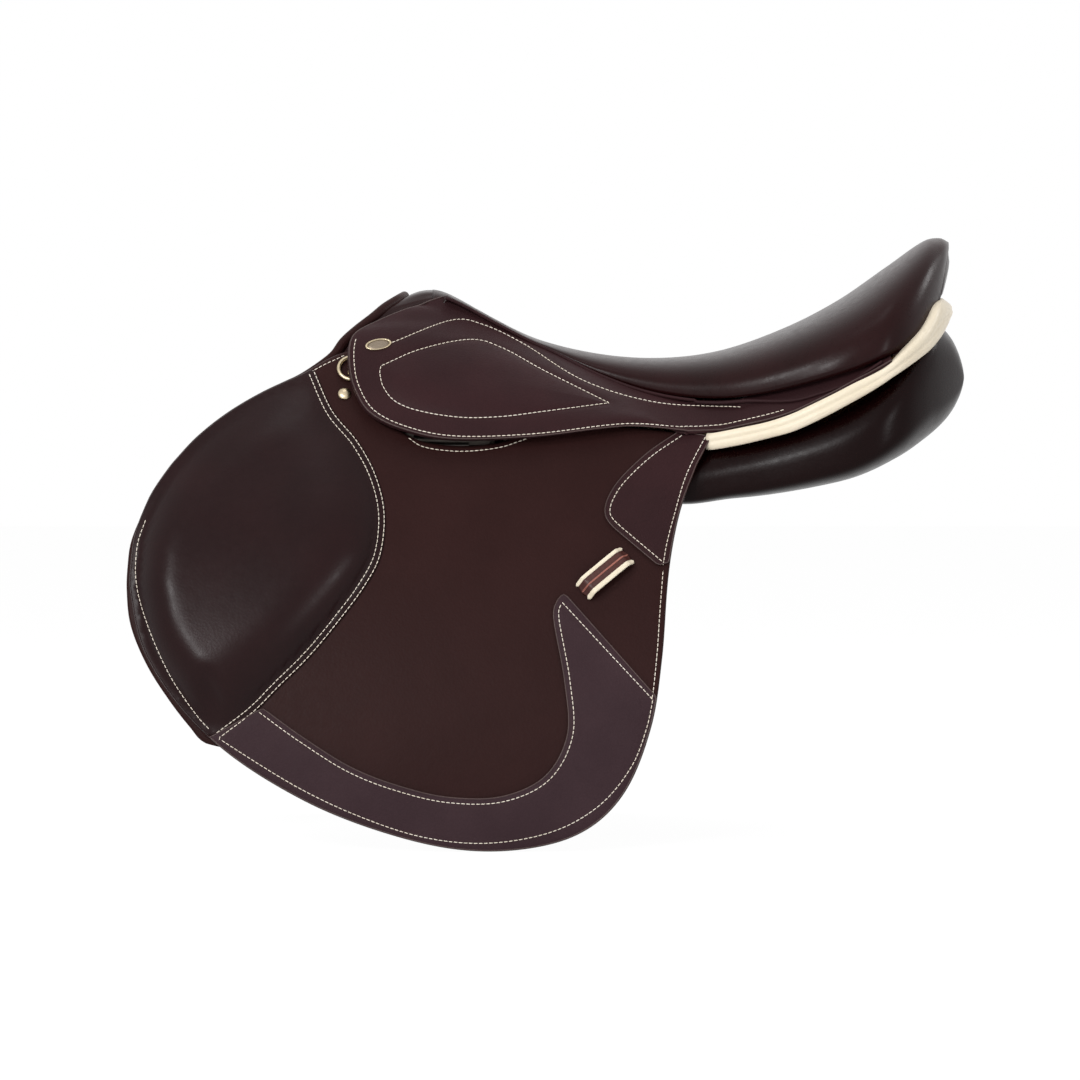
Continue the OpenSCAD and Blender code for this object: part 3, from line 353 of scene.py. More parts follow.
def mirrored(obj, name):
    """The same piece on the left side."""
    mesh = obj.data.copy()
    mesh.name = name
    points = np.empty(len(mesh.vertices) * 3)
    mesh.vertices.foreach_get("co", points)
    points.reshape(-1, 3)[:, 1] *= -1
    mesh.vertices.foreach_set("co", points)
    mesh.flip_normals()
    mesh.update()
    made = bpy.data.objects.new(name, mesh)
    scene.collection.objects.link(made)
    return made


print("mesh helpers: leather, loft, tube and mirror image")

# %% [markdown]
# The seat's surface follows three curves along its length: the height of the middle, the half width
# and the height of the edge. Across, it is a rounded arch with a shallow hollow for the rider. The
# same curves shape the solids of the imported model, so the leather lands where the solids are.

# %% Seat curves
POMMEL_RISE = [[0, .95], [.045, 1], [.08, .93], [.175, .51], [.25, .24], [.36, .04], [.47, 0], [.58, 0],
               [1, 0]]
CANTLE_RISE = [[0, 0], [.36, 0], [.47, 0], [.58, .07], [.69, .245], [.8, .495], [.89, .775],
               [.955, .985], [.983, 1.01], [1, .975]]
SEAT_WIDTH = [[0, -.1], [.05, -.05], [.17, 0], [.25, .06], [.36, .25], [.43, .4], [.53, .62], [.62, .8],
              [.72, .94], [.8, 1], [.88, .97], [1, .85]]
EDGE_DROP = [[0, .34], [.05, .14], [.08, .04], [.25, .05], [.36, .24], [.43, .37], [.53, .53],
             [.62, .65], [.72, .77], [.8, .88], [.88, 1.02], [.925, 1.05], [.957, .95], [.971, .8],
             [.981, .58], [.99, .3], [1, .05]]
FOAM_SHARE = [[0, .4], [.08, .55], [.17, .44], [.25, .44], [.36, .7], [.47, 1], [.58, 1.4], [.69, 1.8],
              [.8, 2.2], [.89, 2.35], [1, 2]]
TREE_FALL = [[0, 98], [.08, 95], [.17, 68], [.25, 57], [.36, 40], [.43, 33], [.53, 29], [.62, 25],
             [.72, 21], [.8, 19], [1, 15]]
SEAT_FRONT, SEAT_LENGTH = -178, 412
ROUND_U = 0.86                         # from here on the seat's outline closes round the cantle
SEAT_HEIGHT, POMMEL_HEIGHT, CANTLE_HEIGHT = 109, 160, 198
TWIST_HALF, SEAT_HALF = 42, 136        # half widths behind the pommel and at the widest place
SEAT_ROLL = 62                         # how far the seat's sides fall
SEAT_PUFF = 2.6
SEAT_DISH, DISH_FROM, DISH_TO = 3, .3, .9   # the rider's hollow, and where it starts and ends
NOSE_TUCK, NOSE_END = 8, .084          # the nose dips under the pommel's cap, up to here
EDGE_OUT, EDGE_UNDER = 1, 1.8          # where other leathers meet the seat's lower edge
LAYERS, FOAM = 17.7, 16                # cover, tree and webs together, and the foam's own unit
FALL_SPAN, FALL_KNEE = 100, .7         # the tree falls in a curve, then straight from the knee on


def clamp01(t):
    return np.clip(t, 0, 1)


def seat_x(u):
    return SEAT_FRONT + SEAT_LENGTH * np.asarray(u, float)


def seat_u(x):
    return (np.asarray(x, float) - SEAT_FRONT) / SEAT_LENGTH


def seat_top(u):
    return (SEAT_HEIGHT + (POMMEL_HEIGHT - SEAT_HEIGHT) * curve(POMMEL_RISE, u)
            + (CANTLE_HEIGHT - SEAT_HEIGHT) * curve(CANTLE_RISE, u))


def seat_close(u):
    return np.sqrt(1 - clamp01((np.asarray(u, float) - ROUND_U) / (1 - ROUND_U)) ** 2)


def seat_w(u):
    return mix(TWIST_HALF, SEAT_HALF, curve(SEAT_WIDTH, u)) * seat_close(u)


def seat_edge(u):
    return seat_top(u) - SEAT_ROLL * curve(EDGE_DROP, u)


def seat_point(u, a, margin=0):
    """A point of the seat, a going from -90 to 90 degrees across it."""
    turn = np.radians(a)
    top, edge = seat_top(u) - margin, seat_edge(u) - NOSE_TUCK * smooth((NOSE_END - u) / .02)
    hollow = SEAT_DISH * smooth((u - DISH_FROM) / .3) * smooth((DISH_TO - u) / .2)
    z = edge + (top - edge) * puff(np.cos(turn), SEAT_PUFF) + hollow * (.4 - np.cos(turn) ** 6)
    x = mix(seat_x(u), seat_x(.5), 2 * margin / SEAT_LENGTH)
    y = (seat_w(u) - margin) * puff(np.sin(turn), SEAT_PUFF)
    return np.stack(np.broadcast_arrays(x, y, z), -1)


def seat_edge_point(x):
    """Where other leathers meet the seat's lower edge on the right."""
    u = seat_u(x)
    y, z = seat_w(u) + EDGE_OUT, seat_edge(u) - EDGE_UNDER
    return np.stack(np.broadcast_arrays(x, y, z), -1).astype(float)


def base_z(x, y):
    """Underside of the tree, on which everything is stacked."""
    u, t = seat_u(x), np.abs(y) / FALL_SPAN
    fall = np.where(t < FALL_KNEE, t * t, FALL_KNEE * (2 * t - FALL_KNEE))
    return seat_top(u) - LAYERS - FOAM * curve(FOAM_SHARE, u) - curve(TREE_FALL, u) * fall


span = np.linspace(DISH_FROM, DISH_TO, 121)
print("seat: lowest", round(seat_top(span).min()), "mm, widest", round(2 * seat_w(span).max()), "mm")

# %% [markdown]
# The seat is a foam pad under one stretched hide. It could be inflated by a cloth simulation, but the
# hide is pulled tight over the tree, so its form is exactly the blocked surface. A fine grid of that
# surface, closed underneath, is enough. Its front end lies under the pommel's cap.

# %% Seat leather
HIDE = 3
SEAT_START, FINE_END = .05, .1         # the grid is finer at the nose
u = np.concatenate([np.linspace(SEAT_START, FINE_END, 9), np.linspace(FINE_END, ROUND_U, 86)[1:],
                    mix(ROUND_U, 1, np.sin(np.radians(np.linspace(0, 88.8, 26))))[1:]])
U, A = np.meshgrid(u, np.linspace(-90, 90, 73), indexing="ij")
seat = leather("seat", seat_point(U, A), seat_point(U, A, HIDE))
print("seat:", len(seat.data.polygons), "faces")

# %% [markdown]
# Round the back of the cantle runs a cream band with a crease along its middle, and above it a narrow
# crescent of leather closes the back. A profile swept along Blender's curves would twist where the
# rim turns up, so one function gives places along the seat's outline, pushed outwards, and each band
# is a loft of its own cross section there.

# %% Cantle curves
STRIPE_OFF = [[0, 15], [.2, 9], [.45, 4], [1, 1]]   # distance outside the seat along the band
BAND_OUT = 4                                        # and from there to where its heights are given
STRIPE_U = 0.56                                     # where the band starts
RIM_STEP = .005
STRIPE_HIGH = [[52, 53.5], [74, 58], [92, 62], [110, 68], [125, 75], [142, 83.3], [157, 91], [172, 98],
               [183, 104.2], [191, 110.6], [202, 119.8], [213, 130.5], [219, 139.5], [223, 147],
               [227, 151], [232, 153], [238, 153.5]]
STRIPE_LOW = [[52, 41], [74, 45.3], [92, 49.7], [110, 54.6], [125, 61], [142, 69.5], [157, 77.5],
              [172, 86], [187, 95.5], [202, 105], [217, 115.5], [226, 124], [232, 130.5], [235, 134.5],
              [238, 136.5]]


def rim_u(k):
    """Place along the seat for k from 0 at the band's start to 1 at the middle of the cantle."""
    return np.where(k < .5, mix(STRIPE_U, ROUND_U, 2 * k),
                    mix(ROUND_U, 1, np.sin(np.pi * np.clip(k - .5, 0, .5))))


def rim_point(k):
    return np.stack([seat_x(rim_u(k)), seat_w(rim_u(k))], -1)


def rim(k, off):
    """A place in plan at a distance outside the seat's outline."""
    k = np.asarray(k, float)
    t = rim_point(np.minimum(1, k + RIM_STEP)) - rim_point(np.maximum(0, k - RIM_STEP))
    t /= np.linalg.norm(t, axis=-1)[..., None]
    return rim_point(k) + np.stack([-t[..., 1], t[..., 0]], -1) * np.asarray(off)[..., None]


def stripe_x(k):
    return rim(k, curve(STRIPE_OFF, k) + BAND_OUT)[..., 0]


def stripe_low(k):
    return curve(STRIPE_LOW, stripe_x(k))


def stripe_high(k):
    return curve(STRIPE_HIGH, stripe_x(k))


print("cantle: the band is", round(float(stripe_high(.2) - stripe_low(.2)), 1), "mm high at the side")

# %% Cantle band and back
BAND_THICK, BAND_ROLL = 5, 2.4         # at the side: how far it stands out, less at its rolled edges
BAND_FULL, BAND_LEAN, BAND_BROW = 2, 9.7, .45   # behind: the same, its lean, and where it is fullest
TURN_FROM, TURN_SPAN = .72, .26        # where the one turns into the other
BAND_CREASE, CREASE_HALF = .8, .09
BAND_ROOT, BAND_SINK = 1, 8            # its hidden side, and how much deeper that lies behind
CRESCENT_LAP, CRESCENT_LEAST, CRESCENT_GAP = 1.5, 1.2, .8   # under the band, least height, below the seat
CRESCENT_IN, CRESCENT_OUT, CRESCENT_ROLL = -7.4, 2.2, 2.6
CRESCENT_ROOT, CRESCENT_TOP = -11, -2.7


def round_the_rim(name, ks, section):
    """A band along the rim on both sides. The section gives offsets and heights for each k."""
    rings = []
    for way, run in ((1, ks), (-1, ks[-2::-1])):
        for k in run:
            off, high = section(k)
            p = rim(np.full(len(off), k), off)
            rings.append(np.column_stack([p[:, 0], way * p[:, 1], high]))
    return loft(name, rings)


def stripe_section(k):
    """The band: flat with rolled edges at the side, full and leaning back behind, with its crease."""
    off, low, high = curve(STRIPE_OFF, k), stripe_low(k), stripe_high(k)
    v = np.linspace(0, 1, 19)
    flat = off + BAND_THICK - BAND_ROLL * np.abs(2 * v - 1) ** 4
    below, above = (BAND_BROW - v) / BAND_BROW, (v - BAND_BROW) / (1 - BAND_BROW)
    full = off + BAND_FULL - BAND_LEAN * np.where(v < BAND_BROW, BAND_BROW * below ** 2, above ** 2)
    crease = BAND_CREASE * np.exp(-((v - .5) / CREASE_HALF) ** 2)
    face = mix(flat, full, smooth((k - TURN_FROM) / TURN_SPAN)) - crease
    deep = off - BAND_ROOT - BAND_SINK * smooth((k - .5) / .3)
    return np.concatenate([[deep], face, [deep]]), np.concatenate([[low], mix(low, high, v), [high]])


def back_section(k):
    """The crescent: hollow above the band, then out to the seat's edge."""
    low = float(stripe_high(k)) - CRESCENT_LAP
    high = max(low + CRESCENT_LEAST, float(seat_edge(rim_u(k))) - CRESCENT_GAP)
    v = np.linspace(0, 1, 9)
    face = mix(CRESCENT_IN, CRESCENT_OUT, v ** .6) - CRESCENT_ROLL * smooth((v - .68) / .32)
    return (np.concatenate([[CRESCENT_ROOT], face, [CRESCENT_TOP]]),
            np.concatenate([[low], mix(low, high, v), [high]]))


stripe = round_the_rim("cantle_band", np.linspace(.012, 1, 73), stripe_section)
cantle_back = round_the_rim("cantle_crescent", np.linspace(.56, 1, 45), back_section)
print("cantle: band", len(stripe.data.polygons), "faces, crescent", len(cantle_back.data.polygons))

# %% [markdown]
# The front arch has a dark roll along its edge, a facing below it and a cap of leather behind it that
# reaches the seat's nose and disappears under the skirts. One subdivided cage could hold all three,
# but each meets other leathers on a known curve, so the roll is a loft along a curve, and the two
# others are sheets between two curves.

# %% Front arch: roll and facing
LIP = [[-179, 0, 154], [-183.4, 22, 151.5], [-193, 38, 145.5], [-202, 49, 138], [-213, 58, 129.5],
       [-223, 66, 120.5], [-231.6, 71.5, 109.6], [-250.7, 82, 97.5], [-270.6, 89, 88.3]]
LIP_INNER = [[-195, 0, 116], [-199, 17, 113], [-208, 29, 101], [-213, 41, 83], [-218, 62, 62],
             [-228, 100, 46]]
ROLL_HIGH, ROLL_DEEP = 4.5, 4
FACING = np.array([3, 0, 0])


def arch(points, v):
    """A curve given for the right side, for v from -1 on the left to 1 on the right."""
    p = path(points, np.abs(v))
    p[..., 1] *= np.sign(v)
    return p


vs = np.linspace(-1, 1, 97)
along = arch(LIP, np.minimum(1, vs + .01)) - arch(LIP, np.maximum(-1, vs - .01))
along /= np.linalg.norm(along, axis=1)[:, None]
side = np.cross(along, [1, 0, 0])
side /= np.linalg.norm(side, axis=1)[:, None]
turn = np.linspace(0, 2 * np.pi, 20, endpoint=False)[None, :, None]
slim = mix(1, .35, smooth((np.abs(vs) - .68) / .3))[:, None, None]
ring = (ROLL_HIGH * np.sin(turn) * side[:, None]
        + ROLL_DEEP * np.cos(turn) * np.cross(side, along)[:, None])
lip = loft("arch_roll", arch(LIP, vs)[:, None] + slim * ring)

s = np.linspace(0, 1, 13)[:, None, None]
top_edge = arch(LIP, vs * .8)[None] + [-1, 0, -5]
sheet = mix(top_edge, arch(LIP_INNER, vs)[None], s)
facing = leather("arch_facing", sheet, sheet + FACING)
print("front arch: roll", len(lip.data.polygons), "faces, facing", len(facing.data.polygons))

# %% Front arch: cap
CAP, CAP_BULGE = 2.5, 3.9
CAP_ON_SEAT, CAP_SINK, CAP_HALF = .079, .6, 43   # where it meets the seat, how deep, and how far out
CAP_ON_TREE, CAP_TUCK = 13.9, .96      # over the tree's underside, and drawn in below the skirt
CAP_REAR = (-147, -160)


def arch_rear(v):
    """Rear edge of the cap on the right: over the seat's front, then on the tree under the skirt."""
    y = path(LIP, v)[..., 1]
    across = np.degrees(np.arcsin(clamp01(y / CAP_HALF) ** 1.3))
    over_seat = seat_point(np.full(len(y), CAP_ON_SEAT), across) - [0, 0, CAP_SINK]
    over_seat[:, 1] -= 5 * smooth((y - 22) / 12)
    x, drawn_in = mix(*CAP_REAR, clamp01((y - 40) / 20)), y * CAP_TUCK
    on_tree = np.stack([x, drawn_in, base_z(x, drawn_in) + CAP_ON_TREE], -1)
    return mix(over_seat, on_tree, smooth((y - 38) / 12)[:, None])


v = np.linspace(0, .75, 56)
s = np.linspace(0, 1, 20)[None, :, None]
half = mix((path(LIP, v) + [3.4, 0, 1.2])[:, None], arch_rear(v)[:, None], s)
steep = clamp01(half[..., 1:2] / 45) * .7
rise = np.concatenate([np.zeros_like(steep), steep, np.sqrt(1 - steep ** 2)], -1)
half = half + rise * CAP_BULGE * np.sin(np.pi * s) ** .8 * smooth((42 - half[..., 1:2]) / 24)
sheet = np.concatenate([half[:0:-1] * [1, -1, 1], half])
inside_way = np.concatenate([rise[:0:-1] * [1, -1, 1], rise])
cap = leather("pommel_cap", sheet, sheet - CAP * inside_way)
print("pommel cap:", len(cap.data.polygons), "faces")

# %% [markdown]
# The flaps hang from the tree down the horse's sides. Each is straight along the horse but for the curl
# of its lower front, so one curve from top to bottom gives its outside, and two curves its outline.
# The panels and patches need these places, so they come first.

# %% Flap curves
FLAP_FRONT = [[0, .8932], [1.35, .9113], [3, .932], [5, .953], [10, .988], [14, .998], [19, 1], [30, .95],
              [45, .775], [60, .52], [75, .24], [90, 0]]
FLAP_REAR = [[0, 1], [7, .915], [16, .86], [30, .825], [43, .77], [60, .62], [75, .38], [90, 0]]
TOP_EDGE = [[.0098, 2], [.05, 19.8], [.105, 37.8], [.17, 53.6], [.245, 67.7], [.32, 83], [.38, 81],
            [.4, 50], [.425, 27], [.455, 19], [.48, 16], [.535, 14], [.6, 16], [.66, 24], [.7, 30],
            [.8, 30], [.92, 25], [1, 22]]
BEND_Z = 30                            # the flap bends along this height when it is lifted
FLAP_MID, FLAP_REACH, FLAP_BACK, FLAP_DROP = -113, 266, 154, 282
FLAP_TOP_Y, FLAP_SPLAY, FLAP_REF_Z, FLAP_FALL = 92, 122, 100, 380
FLAP_CURL = 14
SWEAT_GAP, SWEAT_SHEET = 13, 4         # from the flap's outside to the under flap's, its thickness


def flap_face(z):
    return FLAP_TOP_Y + FLAP_SPLAY * (1 - (1 - (FLAP_REF_Z - np.asarray(z, float)) / FLAP_FALL) ** 2)


def flap_y(x, z):
    """Outside of the flap, with the curl of its lower front."""
    below, ahead = np.maximum(0, BEND_Z - z) / FLAP_DROP, np.maximum(0, FLAP_MID - x) / FLAP_REACH
    return flap_face(z) - FLAP_CURL * below * ahead ** 2


def flap_tilt(z):
    return np.arctan(2 * FLAP_SPLAY * (1 - (FLAP_REF_Z - z) / FLAP_FALL) / FLAP_FALL)


def flap_z(a):
    return BEND_Z - FLAP_DROP * np.sin(np.radians(a))


def flap_front(a):
    return FLAP_MID - FLAP_REACH * curve(FLAP_FRONT, a)


def flap_rear(a):
    return FLAP_MID + FLAP_BACK * curve(FLAP_REAR, a)


def sweat_face(x, z):
    return flap_y(x, z) - SWEAT_GAP


print("flap: from", round(float(flap_front(19))), "to", round(float(flap_rear(0))), "mm along the horse")

# %% [markdown]
# Under the tree the two panels are stuffed cushions that bear on the horse, with a leather-lined
# channel between them. Cloth pressure could fill them, but wool is packed to a set form, so the
# outline, the depth and the rounded ends come from curves again, and a loft joins the rings.

# %% Panel curves
PANEL_OUTER = [[0, .55], [.06, .655], [.12, .675], [.19, .68], [.25, .78], [.33, .9], [.46, .93],
               [.55, .93], [.65, .96], [.73, 1], [.8, 1.025], [.85, 1.02], [.882, .985], [.904, .935],
               [.927, .85], [.945, .765], [.965, .66], [.983, .56], [1, .46]]
PANEL_DEPTH = [[0, .7], [.12, .9], [.4, 1.1], [.54, 1.32], [.655, 1.5], [.753, 1.6], [.853, 1.67],
               [1, 1.7]]
PANEL_FRONT, PANEL_BACK_X = -203, 243
PANEL_HALF, PANEL_DEEP = 138, 21       # half width, and half of the depth's own unit
PANEL_NOSE, PANEL_TAIL, BELLY_TAIL = .05, .95, .9   # where its ends start to close, along it
PANEL_LEVEL = 218                      # behind this the cushion's top goes on level
CHANNEL_HALF, LINING = 30, 1.5
PANEL_PUFF = 3.6
LAY = .3                               # clearance between pieces that lie on each other
FREE_SPAN, FREE_ROOM = 60, 70          # behind the under flap nothing holds the cushion in
SOFTEN = 24                            # how gently it bends along the under flap


def panel_round(p, tail):
    """Closes the cushion at both ends, the tail starting at its own place."""
    front = np.sqrt(1 - clamp01((PANEL_NOSE - p) / PANEL_NOSE) ** 2)
    return front * np.sqrt(1 - clamp01((p - tail) / (1 - tail)) ** 2)


def panel_point(p, a):
    """A point of the right panel, p along it and a degrees round it, kept behind the under flap."""
    turn = np.radians(a)
    x, far = mix(PANEL_FRONT, PANEL_BACK_X, p), PANEL_HALF * curve(PANEL_OUTER, p)
    ends = panel_round(p, PANEL_TAIL)
    across = (1 + puff(np.cos(turn), PANEL_PUFF) * mix(.6, 1, ends)) / 2
    y, half = mix(CHANNEL_HALF, far, across), PANEL_DEEP * curve(PANEL_DEPTH, p)
    up = puff(np.sin(turn), PANEL_PUFF)
    bulge = np.where(up > 0, ends, panel_round(p, BELLY_TAIL) * (1 - .6 * across ** 2))
    z = base_z(np.minimum(x, PANEL_LEVEL), y) - LAY - half + half * bulge * up
    limit = sweat_face(x, z) - (SWEAT_SHEET + LAY) + FREE_ROOM * smooth(x / FREE_SPAN)
    near = clamp01(.5 + (limit - y) / SOFTEN)
    y = mix(limit, y, near) - SOFTEN / 2 * near * (1 - near)
    return np.stack(np.broadcast_arrays(x, y, z), -1)


print("panel:", PANEL_BACK_X - PANEL_FRONT, "mm long")

# %% Panels and channel
PANEL_BELLY = [[35, 2], [89, 6.5], [134, 14], [164, 22], [195, 37], [217, 51.5], [228, 61], [235, 70],
               [239.5, 79], [242, 87], [243.3, 95]]
PANEL_BACK = [[205, 160], [218, 142], [228, 130.5], [235, 121.5], [239.5, 112], [242, 104], [243.3, 97]]
BELLY_FROM, BELLY_BLEND = 20, 50       # from here on these give its lower and upper line
CHANNEL_FRONT, CHANNEL_BACK = -181.5, 220
p = np.concatenate([PANEL_NOSE * (1 - np.cos(np.radians(np.linspace(6, 90, 9)))),
                    np.linspace(PANEL_NOSE, BELLY_TAIL, 90)[1:],
                    mix(BELLY_TAIL, 1, np.sin(np.radians(np.linspace(0, 87, 24))))[1:]])
P, A = np.meshgrid(p, np.arange(0, 360, 5), indexing="ij")
rings = panel_point(P, A)
for ring in rings:
    x, low, high = ring[0, 0], ring[:, 2].min(), ring[:, 2].max()
    share = smooth((x - BELLY_FROM) / BELLY_BLEND)
    belly = mix(low, curve(PANEL_BELLY, x), share)
    back = mix(high, min(high, curve(PANEL_BACK, x)), share)
    ring[:, 2] = mix(belly, back, (ring[:, 2] - low) / (high - low))
panel = loft("panel_cushion_right", rings)

half = CHANNEL_HALF - LAY
X, Y = np.meshgrid(np.linspace(CHANNEL_FRONT, CHANNEL_BACK, 80), np.linspace(-half, half, 9),
                   indexing="ij")
roof = np.stack([X, Y, base_z(X, Y) - 2 * LAY], -1)
lining = leather("channel_lining", roof, roof - [0, 0, LINING])
print("panel:", len(panel.data.polygons), "faces")

# %% [markdown]
# The flaps and patches are cut from flat hide, so each starts as an outline in side view. Delaunay
# triangulation fills the outline, rings along it give the rolled edge, and a function lays the sheet
# on the curved flap with the thickness or padding it needs. A grid would fit such outlines badly.

# %% Leather cut to an outline


def inset(outline, by):
    """The closed outline moved inwards; it runs so that its inside is on the left."""
    along = np.roll(outline, -1, 0) - np.roll(outline, 1, 0)
    along /= np.linalg.norm(along, axis=1)[:, None]
    return outline + by * np.column_stack([-along[:, 1], along[:, 0]])


def turned_left(outline):
    """The outline, run so that its inside is on the left."""
    x, z = outline[:, 0], outline[:, 1]
    return outline if np.sum(x * np.roll(z, -1) - z * np.roll(x, -1)) > 0 else outline[::-1]


def distance(points, line):
    """Distance of points from a line of points, all in side view."""
    best = np.full(len(points), 1e9)
    for a, b in zip(line[:-1], line[1:]):
        t = clamp01(((points - a) @ (b - a)) / max((b - a) @ (b - a), 1e-9))
        best = np.minimum(best, np.linalg.norm(points - a - t[:, None] * (b - a), axis=1))
    return best


def inside(points, outline):
    """True for points inside a closed outline, all in side view."""
    found = np.zeros(len(points), bool)
    for a, b in zip(outline, np.roll(outline, -1, 0)):
        if a[1] != b[1]:
            cross_x = a[0] + (points[:, 1] - a[1]) / (b[1] - a[1]) * (b[0] - a[0])
            found ^= ((points[:, 1] < a[1]) != (points[:, 1] < b[1])) & (points[:, 0] < cross_x)
    return found


def laid(spots, lay, out):
    """Spots in side view, laid on a surface with a height over it."""
    return np.column_stack([spots[:, 0], lay(spots[:, 0], spots[:, 1]) + out, spots[:, 1]]).tolist()


def cut_leather(name, outline, outer, inner, lay=flap_y, edge=2.0, step=4.0, grid=6.0):
    """Closed leather over an outline in side view. outer and inner give its faces' heights over lay."""
    outline = turned_left(resample(outline, step, closed=True))
    roll = np.radians([0, 30, 60, 90])
    rings = [inset(outline, edge * (1 - math.cos(r))) for r in roll]
    low, high = rings[-1].min(0), rings[-1].max(0)
    X, Z = np.meshgrid(np.arange(low[0], high[0], grid), np.arange(low[1], high[1], grid * .87),
                       indexing="ij")
    X = X + grid / 2 * (np.arange(X.shape[1]) % 2)
    spots = np.column_stack([X.ravel(), Z.ravel()])
    spots = spots[inside(spots, rings[-1])]
    spots = spots[distance(spots, np.vstack([rings[-1], rings[-1][:1]])) > grid * .45]
    count = len(outline)
    flat = np.vstack([rings[-1], spots])
    loop = [(i, (i + 1) % count) for i in range(count)]
    found = delaunay_2d_cdt([Vector(p) for p in flat], loop, [], 1, 1e-5)
    fill = np.array([list(p) for p in found[0]])
    first = {old[0]: new for new, old in enumerate(found[3]) if old}
    points, faces = [], []
    for way in (1, -1):
        rows = []
        for ring, r in list(zip(rings, roll))[:-1]:
            a, b = outer(ring), inner(ring)
            out = (a + b) / 2 + way * (a - b) / 2 * math.sin(r)
            rows.append(len(points))
            points += laid(ring, lay, out)
        start = len(points)
        points += laid(fill, lay, outer(fill) if way > 0 else inner(fill))
        last = [start + first[i] for i in range(count)]
        for k, row in enumerate(rows):
            upper = [row + i for i in range(count)]
            lower = last if k == len(rows) - 1 else [rows[k + 1] + i for i in range(count)]
            faces += [[upper[i], upper[j], lower[j], lower[i]] for i, j in loop]
        faces += [[start + i for i in f] for f in found[2]]
    return piece(name, points, faces)


def level(height):
    """The same height everywhere."""
    return lambda spots: np.full(len(spots), float(height))


def beside(line, by):
    """A line moved sideways, to the left of its run if by is positive."""
    along = np.gradient(line, axis=0)
    along /= np.linalg.norm(along, axis=1)[:, None]
    return line + by * np.column_stack([-along[:, 1], along[:, 0]])


def trimmed(outline, by):
    """A closed outline in 3 mm steps, cut back a little."""
    return inset(turned_left(resample(outline, 3, closed=True)), by)


print("cutting table ready")

# %% [markdown]
# Each flap is two hides sewn back to back, with a cut-out at its top for the stirrup bar. The under
# flap lies behind it and shows as a dark edge at the lower front. A plane with Solidify could be bent
# to this form, but its outline would need as many points, so both are cut at the table above.

# %% Flaps and under flaps
FLAP_SHEET = 5
TOP_FRONT, TOP_PAST_REAR = -353, 12
down = np.linspace(0, 90, 136)
front_edge = np.column_stack([flap_front(down), flap_z(down)])
rear_edge = np.column_stack([flap_rear(down), flap_z(down)])
s = np.linspace(TOP_EDGE[0][0], 1, 120)
top_x = mix(TOP_FRONT, flap_rear(0) + TOP_PAST_REAR, s)
top_edge = np.column_stack([top_x, BEND_Z + curve(TOP_EDGE, s)])
flap_outline = np.vstack([front_edge, rear_edge[-2::-1], top_edge[::-1]])
flap = cut_leather("flap_leather_right", flap_outline, level(0), level(-FLAP_SHEET), edge=2.4)

SWEAT_FRONT = [[0, .86], [7, .95], [10, .98], [13.6, 1.003], [17, 1.01], [21, 1.012], [27, 1], [34, .955],
               [41, .891], [47, .83], [50.5, .79], [51.7, .735], [53, .66], [56, .58], [65, .42],
               [76, .2], [90, 0]]
SWEAT_TOP, SWEAT_DROP, SWEAT_INSET = 36, 272, 10
UNDER_FACING_INSET = 4.5
sweat_z = SWEAT_TOP - SWEAT_DROP * np.sin(np.radians(down))
sweat_outline = np.vstack([
    np.column_stack([FLAP_MID - FLAP_REACH * curve(SWEAT_FRONT, down), sweat_z]),
    np.column_stack([flap_rear(down) - SWEAT_INSET * np.cos(np.radians(down)), sweat_z])[-2::-1]])
under_flap = cut_leather("under_flap_right", sweat_outline, level(0), level(-SWEAT_SHEET),
                         lay=sweat_face, edge=1.9)
under_facing = cut_leather("under_flap_facing_right", trimmed(sweat_outline, UNDER_FACING_INSET),
                           level(2.6), level(.2), lay=sweat_face, edge=1.1)
print("flap:", len(flap.data.polygons), "faces, under flap:", len(under_flap.data.polygons))

# %% [markdown]
# The padded knee area is soft leather over foam, sewn down along its front and by a double row along
# its rear. It rises in a smooth roll inside its seams and is nearly flat between them. Cloth pressure
# could fill it, but then the rolls would not follow the two seams, so the height comes from the
# distance to each seam.

# %% Knee pads
KNEE_CROWN = [[-165.99, .22], [-150.5, .68], [-119.5, .95], [-68.7, 1], [-20.8, .9], [30, .55], [61, .4],
              [98, .1]]
KNEE_REAR_SEAM = [(-245, 98.9), (-231.1, 69.7), (-212.2, 47.2), (-198.5, 22.7), (-191.6, -5.1),
                  (-194.3, -35.1), (-205.2, -57.3), (-224.2, -83.1), (-246.2, -109.3), (-268.8, -131.6),
                  (-287.4, -150.2), (-311.7, -168.9)]
KNEE_FRONT_SEAM = [(-368, -10), (-374, -30), (-374, -57), (-365, -87), (-348, -124), (-329, -152),
                   (-318, -164)]
KNEE_SHEET, KNEE_PUFF = 2.3, 22        # the leather at the seams, and what the foam adds
FRONT_FLANGE, FRONT_ROLL = 6.5, 33     # flat strip along the seam, then the width of the roll
REAR_FLANGE, REAR_ROLL = 7, 52
ROLL_POWER = 2.5
KNEE_PINCH = np.array([(-311, -163), (-316, -142), (-322, -118)])
PINCH_HALF, PINCH_TOP, PINCH_SHARE = 7, -112, .5
KNEE_CREASE, KNEE_CREASE_HALF = .35, 1.6
KNEE_BROW_X, KNEE_TIP = -246, 44.5     # where the pad ends: along the top edge, and down the front
knee_rear = seam(KNEE_REAR_SEAM)
knee_back = beside(knee_rear, 1.6)
knee_top = top_edge[(top_edge[:, 0] < KNEE_BROW_X) & (s < .3)][::-1]
knee_front = np.vstack([knee_top, front_edge[down <= KNEE_TIP]])
knee_outline = trimmed(np.vstack([knee_front, knee_back[::-1]]), .6)


